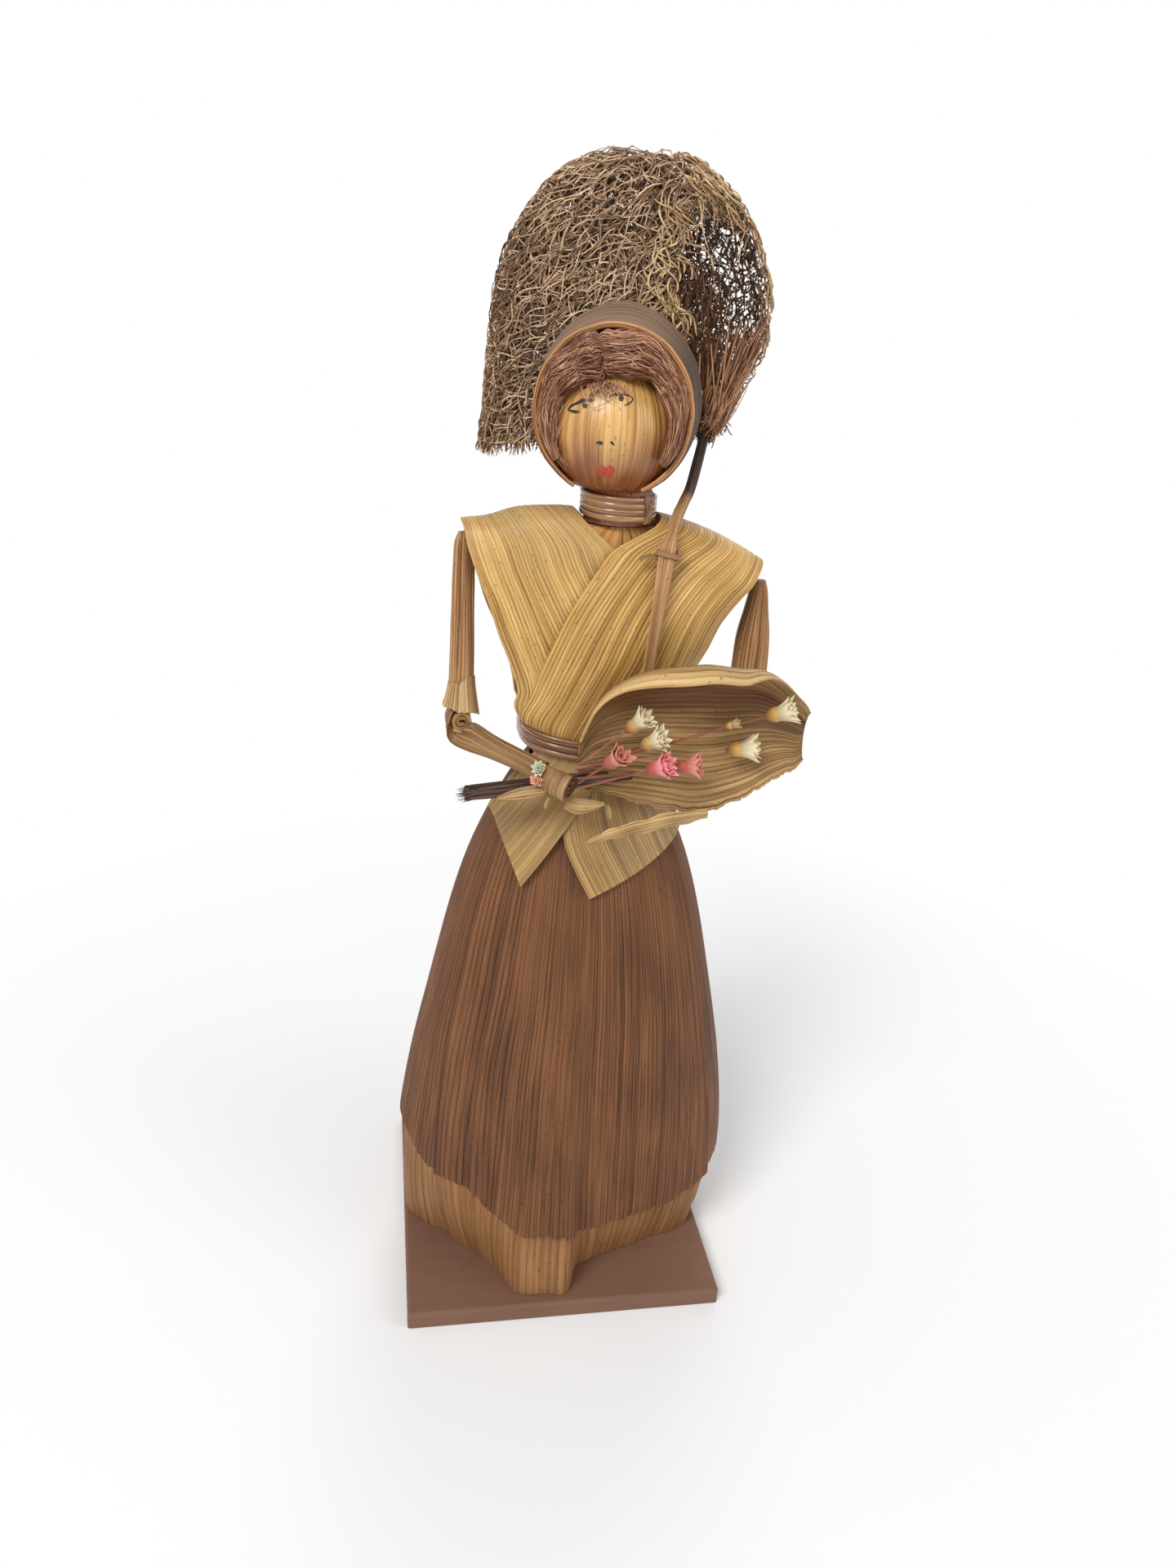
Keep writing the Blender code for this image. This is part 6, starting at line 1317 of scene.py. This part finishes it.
def make_stick():
    """The husk-wrapped stick, the folded husk at its foot and its tie on the chest."""
    tie = tie_place()
    along = unit([0.135, 0.175, 0.975])
    foot = tie - along * 0.034
    bends = [tie + SHOULDER_HALF * np.array(bend) for bend in stick_bend_shares]
    path = resample([mix(foot, tie, share) for share in (0, 0.4, 0.75, 1)] + bends, 150, 0)
    share = np.linspace(0, 1, 150)
    wide = smooth([(0, 0.95), (0.12, 1.05), (0.26, 1.45), (0.36, 1.55), (0.43, 0.85), (0.5, 1.1), (0.62, 1.0),
                   (1, 0.95)], share) * (1 + 0.07 * noise(share * 14, 0, 41))
    deep = smooth([(0, 0.6), (0.36, 0.75), (0.43, 0.8), (0.6, 0.95), (1, 0.95)], share)
    grid = tube(path, BACK, STICK_RADIUS * deep, STICK_RADIUS * wide, 60, 0.9)
    turns = TAU * np.arange(60)[None] / 60
    fold = 0.28 * MM * np.sin(3 * turns + 9 * share[:, None]) * np.clip(1.2 - share * 1.5, 0, 1)[:, None]
    # Painted light on the lower stick, brightest just above the tie, and a painted shadow from the shoulder
    # up, where the head shades it.
    tone = np.interp(share, (0, 0.4, 0.5, 0.62, 0.7, 1), (-0.35, -0.2, -0.9, -0.6, 0.9, 1.0))
    husk("parasol_stick", grid, path.mean(0) + BACK * 0.004, "amber", "parasol", "husk_tan",
         **CLOSED, pitch=0.7, rib=0.3, seed=171, low=tone[:, None] + 0 * turns,
         lift=fold)
    side = unit(np.cross(along, BACK))
    rise = unit(np.cross(side, along))
    ring = STICK_RADIUS + SEAT + 0.0004
    k = np.arange(int(1.6 * 96) + 1)
    turn = TAU * k / 96
    path = (tie - along * (0.0013 * (1.6 * 1.4 - k / 96))[:, None]
            + (side * np.cos(turn)[:, None] * 1.35 + rise * np.sin(turn)[:, None]) * ring)
    wind("parasol_tie_husk", path, 0.0008, 1.6, "sleeve", "stand", "husk_amber", 172)
    t = np.linspace(0, 1, 20)
    tail = path[0] + np.stack([-0.004 * t, -0.0006 * np.sin(3 * t), 0.0006 * np.sin(4 * t)], -1)
    wind("parasol_tie_end", tail, 0.0007, 1.5, "sleeve", "stand", "husk_amber", 173)


def canopy_surface():
    """A fine closed grid of the canopy's middle surface: rows from the crown down, columns round."""
    tie = tie_place()
    bends = [tie + SHOULDER_HALF * np.array(bend) for bend in stick_bend_shares]
    lean = unit(bends[-1] - bends[-2])
    gather = bends[-1] + lean * 0.0005
    bonnet_back = BONNET_MIDDLE[1] + BONNET_AXIS[1] * BONNET_LENGTH + 0.0009
    centre = np.array([NECK_X + 0.0083, bonnet_back + 0.0026 + CANOPY_HALF_DEPTH, SHOULDER + CANOPY_RISE])
    spots = TAU * np.arange(240) / 240
    rows = []
    for r in range(10):
        if r <= 5:
            polar = mix(0.12, 1, r / 5) * math.pi / 2
            wide, z, fall = math.sin(polar), CANOPY_RISE * math.cos(polar) + 0 * spots, 0.0
        else:
            fall = (r - 5) / 4
            wide = 1 + 0.06 * fall
            z = -CANOPY_FALL * fall * (1 - 0.2 * (1 + np.cos(spots)))
        point = centre + np.stack([CANOPY_HALF_WIDTH * wide * np.cos(spots),
                                   CANOPY_HALF_DEPTH * wide * np.sin(spots),
                                   z], -1)
        pull = np.maximum(np.cos(spots - BONNET_LEAN), 0) ** 2 * 0.93 * fall ** 0.6
        rows.append(mix(point, gather, pull[:, None]))
    return resample(rows, 181, 0), gather, lean, centre


def make_net():
    """The parasol's net: five webs of branching fibres, long combed fibres and frayed edges."""
    surface, gather, lean, centre = canopy_surface()
    rows, across = surface.shape[:2]
    outward = normals(surface, True)
    outward *= np.sign(np.sum(outward * (surface - centre)))
    down = unit(np.gradient(surface, axis=0))
    round_ = unit(np.roll(surface, -1, 1) - np.roll(surface, 1, 1))
    cells = (np.linalg.norm(np.gradient(surface, axis=0), axis=2)
             * np.linalg.norm(np.roll(surface, -1, 1) - np.roll(surface, 1, 1), axis=2) / 2)

    def open_mouth(r, c):
        """True in the opening at the front of the doll's left side."""
        spot = np.remainder(c / across, 1.0)
        edge = 0.012 * np.sin(r / 7.0)
        return (spot > MOUTH_START + edge) & (spot < MOUTH_END - edge) & (r > MOUTH_TOP * (rows - 1))

    def at(field, r, c):
        r, c = np.clip(r, 0, rows - 1.001), np.remainder(c, across)
        i, j = r.astype(int), c.astype(int)
        k = (j + 1) % across
        a, b = (r - i)[..., None], (c - j)[..., None]
        return ((field[i, j] * (1 - b) + field[i, k] * b) * (1 - a)
                + (field[i + 1, j] * (1 - b) + field[i + 1, k] * b) * a)

    weights = cells.ravel() / cells.sum()

    def scatter(tries, least):
        """Spread places over the surface, no two nearer than the least distance."""
        picks = rng.choice(rows * across, tries, p=weights)
        r, c = picks // across + rng.random(tries), picks % across + rng.random(tries)
        keep = ~open_mouth(r, c)
        r, c = r[keep], c[keep]
        points = at(surface, r, c)
        chosen = []
        taken = np.empty((0, 3))
        for k in range(len(points)):
            if len(taken) == 0 or np.min(np.sum((taken - points[k]) ** 2, 1)) > least ** 2:
                chosen.append(k)
                taken = points[chosen]
        return r[chosen], c[chosen]

    def web(tries, least, depth, tilt, radius, tone, thin):
        """A net of junctions joined to the near ones, stretched along a leaning direction."""
        r, c = scatter(tries, least)
        jitter = depth + 0.45 * MM * rng.normal(size=len(r))
        points = (at(surface, r, c) + at(outward, r, c) * jitter[:, None]).astype(np.float32)
        lead = unit(at(down, r, c) * math.cos(tilt) + at(round_, r, c) * math.sin(tilt))
        away = points[None] - points[:, None]
        along = np.einsum("ijk,ik->ij", away, lead) ** 2
        full = np.sum(away ** 2, 2)
        score = full - along + along / 2.6
        score = (score + score.T) / 2
        np.fill_diagonal(score, np.inf)
        first, second = np.where(np.triu(score < (2.1 * least) ** 2))
        links = []
        for a, b in zip(first, second):
            if not np.any(np.maximum(score[a], score[b]) < score[a, b]):
                links.append((a, b))
        links = np.array(links)
        links = links[rng.random(len(links)) > thin(points[links].mean(1))]
        t = np.linspace(0, 1, 4)[None, :, None]
        a, b = points[links[:, 0]][:, None], points[links[:, 1]][:, None]
        length = np.linalg.norm(b - a, axis=2, keepdims=True)
        bow = unit(rng.normal(size=(len(links), 1, 3))) * length * 0.16
        paths = mix(a, b, t) + bow * np.sin(np.pi * t) * rng.random((len(links), 1, 1))
        size = radius * (0.75 + 0.5 * rng.random((len(links), 1))) * np.array([[1.25, 0.8, 0.8, 1.25]])
        tones = np.clip(tone + 0.18 * rng.normal(size=len(links)), 0, 1)
        return fibre_part(paths, size, 3, tones)

    def whole(points):
        """No link is missing."""
        return 0.0

    def one_sided(points):
        """The inner webs keep to the dense side and to the back."""
        edge = centre[0] + 0.006 + 0.012 * (points[:, 1] > centre[1])
        return np.clip((points[:, 0] - edge) / 0.01, 0.0, 0.55) * (points[:, 2] > centre[2] - 0.024)

    # The outer web is lightest and each deeper web darker: painted shade inside the net.
    outer = web(9000, 1.7 * MM, 1.1 * MM, -0.6, 0.23 * MM, 0.64, whole)
    link("parasol_canopy", [outer], ("net",), "parasol")
    for number, (least, depth, tilt, radius, tone, sided) in enumerate(inner_webs):
        name = f"parasol_inner_net_{number + 1}"
        thin = one_sided if sided else whole
        part = web(12000, least * MM, depth * MM, tilt, radius * MM, tone, thin)
        link(name, [part], ("net",), "parasol")

    def combed(count, length, tilt, depth, curl, where):
        """Long fibres that follow the surface and curl a little; where picks their starts."""
        steps = 9
        tries = count * 8
        picks = rng.choice(rows * across, tries, p=weights)
        r, c = picks // across + rng.random(tries), picks % across + rng.random(tries)
        keep = np.where(where(at(surface, r, c), r, c) & ~open_mouth(r, c))[0][:count]
        r, c = r[keep], c[keep]
        lean_by = tilt + 0.35 * rng.normal(size=len(r))
        stride = length * (0.5 + rng.random(len(r))) / steps
        trail = []
        phase = rng.random(len(r)) * TAU
        lift = depth + 0.5 * MM * rng.random(len(r))
        for k in range(steps):
            height = lift + 0.35 * MM * np.sin(phase + k * 0.8)
            trail.append(at(surface, r, c) + at(outward, r, c) * height[:, None])
            heading = lean_by + curl * np.sin(phase + k * 0.55)
            row_size = np.linalg.norm(at(np.gradient(surface, axis=0), r, c), axis=1)
            ring_size = np.linalg.norm(at((np.roll(surface, -1, 1) - surface), r, c), axis=1)
            r = np.clip(r + stride * np.cos(heading) / np.maximum(row_size, 1e-5), 0, rows - 1.01)
            c = c + stride * np.sin(heading) / np.maximum(ring_size, 1e-5)
        return np.stack(trail, 1)

    def mouth_side(r, c):
        """True beside the opening's edge."""
        spot = np.remainder(c / across, 1.0)
        return (np.abs(spot - 0.775) < 0.022) & (r > MOUTH_TOP * (rows - 1))

    def dense(p, r, c):
        """True on the closed side and near the crown."""
        return (r > 4) & ((p[:, 0] < centre[0] + 0.016) | (p[:, 2] > centre[2] + 0.026))

    def everywhere(p, r, c):
        """True all over, but for the very top."""
        return r > 4

    def pale_place(p, r, c):
        """True where the pale tufts stand: high at the front, and beside the opening."""
        high = (p[:, 0] > centre[0] + 0.008) & (p[:, 2] > centre[2] + 0.012) & (p[:, 1] < centre[1])
        return high | mouth_side(r, c)

    def behind(p, r, c):
        """True inside the back of the net, where rust fibres show through the opening."""
        beside = (p[:, 0] > centre[0] + 0.002) & (p[:, 0] < centre[0] + 0.026)
        return (p[:, 1] > centre[1]) & beside & (p[:, 2] < centre[2] + 0.02)

    front = combed(1500, 0.013, -0.75, 1.1 * MM, 0.5, dense)
    cross = combed(650, 0.009, 0.9, 0.9 * MM, 0.7, everywhere)
    pale = combed(360, 0.009, 0.3, 1.5 * MM, 0.8, pale_place)
    rusty = combed(800, 0.012, 0.1, -1.9 * MM, 0.6, behind)
    link("parasol_rust_fibres", [fibre_part(rusty, 0.22 * MM * taper(9), 3)], ("rust",), "parasol")
    tones = np.clip(0.55 + 0.27 * rng.normal(size=len(front) + len(cross)), 0, 1)
    size = (0.13 + 0.07 * rng.random((len(tones), 1))) * MM * taper(9)
    link("parasol_fibres", [fibre_part(np.concatenate([front, cross]), size, 3, tones)], ("net",),
         "parasol")
    link("parasol_tufts", [fibre_part(pale, 0.27 * MM * taper(9), 3)], ("tuft",), "parasol")

    # Frayed ends along the hem and round the opening
    hem = []
    for k in range(900):
        c = rng.random() * across
        spot = (c / across) % 1.0
        in_mouth = MOUTH_START < spot < MOUTH_END
        r = np.array([MOUTH_TOP * (rows - 1) if in_mouth else rows - 6.0])
        c = np.array([c])
        here = at(surface, r, c)[0] + at(outward, r, c)[0] * rng.normal() * 0.8 * MM
        heading = unit(at(down, r, c)[0] * 0.8 - UP * 0.5 + 0.45 * rng.normal(size=3))
        t = np.linspace(0, 1, 8)[:, None]
        length = (2.0 + 3.0 * rng.random()) * MM
        hem.append(here + heading * length * t + rng.normal(size=3) * 0.5 * MM * np.sin(np.pi * t))
    link("parasol_fray", [fibre_part(np.array(hem), 0.17 * MM * taper(8))], ("net",), "parasol")

    # Fibres drawn together into the gather, and the bound stump below it
    cords = []
    t = np.linspace(0, 1, 11)[:, None]
    for k in range(520):
        c = across * (15 / 360 + rng.normal() * 0.1)
        r = (0.5 + 0.42 * rng.random()) * (rows - 1)
        place = np.array([r]), np.array([c])
        here = at(surface, *place)[0] + at(outward, *place)[0] * rng.normal() * 0.9 * MM
        spread = rng.normal(size=3) * 1.3 * MM
        end = gather + spread - lean * 0.002 * rng.random()
        hang = at(down, *place)[0] * 0.008
        cords.append((1 - t) ** 2 * here + 2 * t * (1 - t) * (mix(here, end, 0.5) + hang * 0.4) + t * t * end
                     + rng.normal(size=3) * 0.4 * MM * np.sin(np.pi * t))
    parts = [fibre_part(np.array(cords), 0.19 * MM * taper(11, 0.6))]
    bound = []
    foot = gather - lean * 0.0005
    for k in range(90):
        spot = rng.random() * TAU
        far = 0.0036 * math.sqrt(rng.random())
        side = unit(np.cross(lean, BACK))
        out = side * math.cos(spot) + np.cross(side, lean) * math.sin(spot)
        swell = np.interp(t[:, 0], (0, 0.2, 0.6, 1), (0.35, 0.8, 1.0, 0.8))
        bound.append(foot + lean * (0.0125 * t) + out * (far * swell)[:, None]
                     + rng.normal(size=3) * 0.25 * MM * np.sin(np.pi * t * 2))
    parts.append(fibre_part(np.array(bound), 0.32 * MM))
    link("parasol_gather", parts, ("rust",), "parasol")


# Room, light and camera

def seen_directly(tree):
    """1 for rays from the camera and for those that are mirrored or pass through."""
    path = add(tree, "LightPath", {})
    seen = calc(tree, "MAXIMUM", path.outputs["Is Camera Ray"], path.outputs["Is Glossy Ray"])
    return calc(tree, "MAXIMUM", seen, path.outputs["Is Transmission Ray"])


def make_room():
    """A pale floor that keeps the shadow, white behind it, and soft lamps."""
    size = 3.0
    mesh = bpy.data.meshes.new("floor")
    mesh.from_pydata([(-size, -size, 0), (size, -size, 0), (size, size, 0), (-size, size, 0)], [],
                     [[0, 1, 2, 3]])
    floor = bpy.data.objects.new("floor", mesh)
    show(floor)
    floor.location = (0, 0, -0.0002)
    material, tree, shader = shaded("floor", 0.9)
    shader.inputs["Base Color"].default_value = (0.93, 0.93, 0.93, 1)
    where = add(tree, "TexCoord", {}).outputs["Object"]
    away = add(tree, "VectorMath", {0: where}, operation="LENGTH").outputs["Value"]
    seen = seen_directly(tree)
    share = calc(tree, "MULTIPLY", seen, ranged(tree, away, 0.1, 0.3))
    white = add(tree, "Emission", {"Color": (1, 1, 1, 1), "Strength": 1.0})
    both = add(tree, "MixShader", {0: share, 1: shader.outputs[0], 2: white.outputs[0]})
    tree.links.new(both.outputs[0], tree.nodes["Material Output"].inputs["Surface"])
    mesh.materials.append(material)
    world = bpy.data.worlds.new("room")
    bpy.context.scene.world = world
    world.use_nodes = True
    tree = world.node_tree
    tree.nodes.clear()
    seen = seen_directly(tree)
    soft = add(tree, "Background", {"Color": (1, 1, 1, 1), "Strength": 0.5})
    white = add(tree, "Background", {"Color": (1, 1, 1, 1), "Strength": 1.0})
    both = add(tree, "MixShader", {0: seen, 1: soft.outputs[0], 2: white.outputs[0]})
    add(tree, "OutputWorld", {"Surface": both.outputs[0]})
    for name, place, side, power in (("key", (-0.75, -0.95, 1.25), 0.7, 16.0),
                                     ("fill", (1.1, -0.7, 0.7), 0.9, 4.0),
                                     ("rear", (0.3, 1.2, 1.0), 0.8, 4.5)):
        data = bpy.data.lights.new(name, "AREA")
        data.shape = "DISK"
        data.size = side
        data.energy = power
        lamp = bpy.data.objects.new(name, data)
        show(lamp)
        aim = Matrix(np.array(look_at(np.array(place), np.array([0, 0, 0.15]))).tolist())
        lamp.matrix_world = aim


def look_at(place, target):
    """A matrix at a place whose -Z axis points at the target."""
    back = unit(place - target)
    right = unit(np.cross(UP, back))
    made = np.eye(4)
    made[:3, 0], made[:3, 1], made[:3, 2], made[:3, 3] = right, np.cross(back, right), back, place
    return made


def make_camera():
    """The photograph's viewpoint, a little above the doll's head and to its right side."""
    yaw, pitch, roll_by = math.radians(10.76), math.radians(23.45), math.radians(3.89)
    forward = np.array([math.sin(yaw) * math.cos(pitch), math.cos(yaw) * math.cos(pitch), -math.sin(pitch)])
    level = np.array([math.cos(yaw), -math.sin(yaw), 0])
    high = np.cross(level, forward)
    made = np.eye(4)
    made[:3, 0] = math.cos(roll_by) * level + math.sin(roll_by) * high
    made[:3, 1] = math.cos(roll_by) * high - math.sin(roll_by) * level
    made[:3, 2] = -forward
    made[:3, 3] = (-0.05, -0.2865, 0.2719)
    data = bpy.data.cameras.new("camera")
    data.sensor_width = 36
    data.lens = 27.04
    data.clip_start = 0.01
    camera = bpy.data.objects.new("camera", data)
    show(camera)
    camera.matrix_world = Matrix(made.tolist())
    bpy.context.scene.camera = camera


make_camera()
make_room()
make_skirts()
make_torso()
make_windings()
make_head()
make_bonnet()
make_hair()
make_arms()
make_leaf()
make_posy()
make_stick()
make_net()
for node, look in (("base_board", "board"), ("support_dowel", "wood"), ("neck_peg", "wood"),
                   ("skirt_core", "fill"), ("neck_bundle", "fill"), ("head_ball", "pulp"),
                   ("shoulder_wire", "wire"), ("arm_wire_right", "wire"), ("arm_wire_left", "wire"),
                   ("forearm_wire_right", "wire"), ("forearm_wire_left", "wire")):
    finish_node(node, look)
bpy.context.scene.view_settings.view_transform = "Standard"
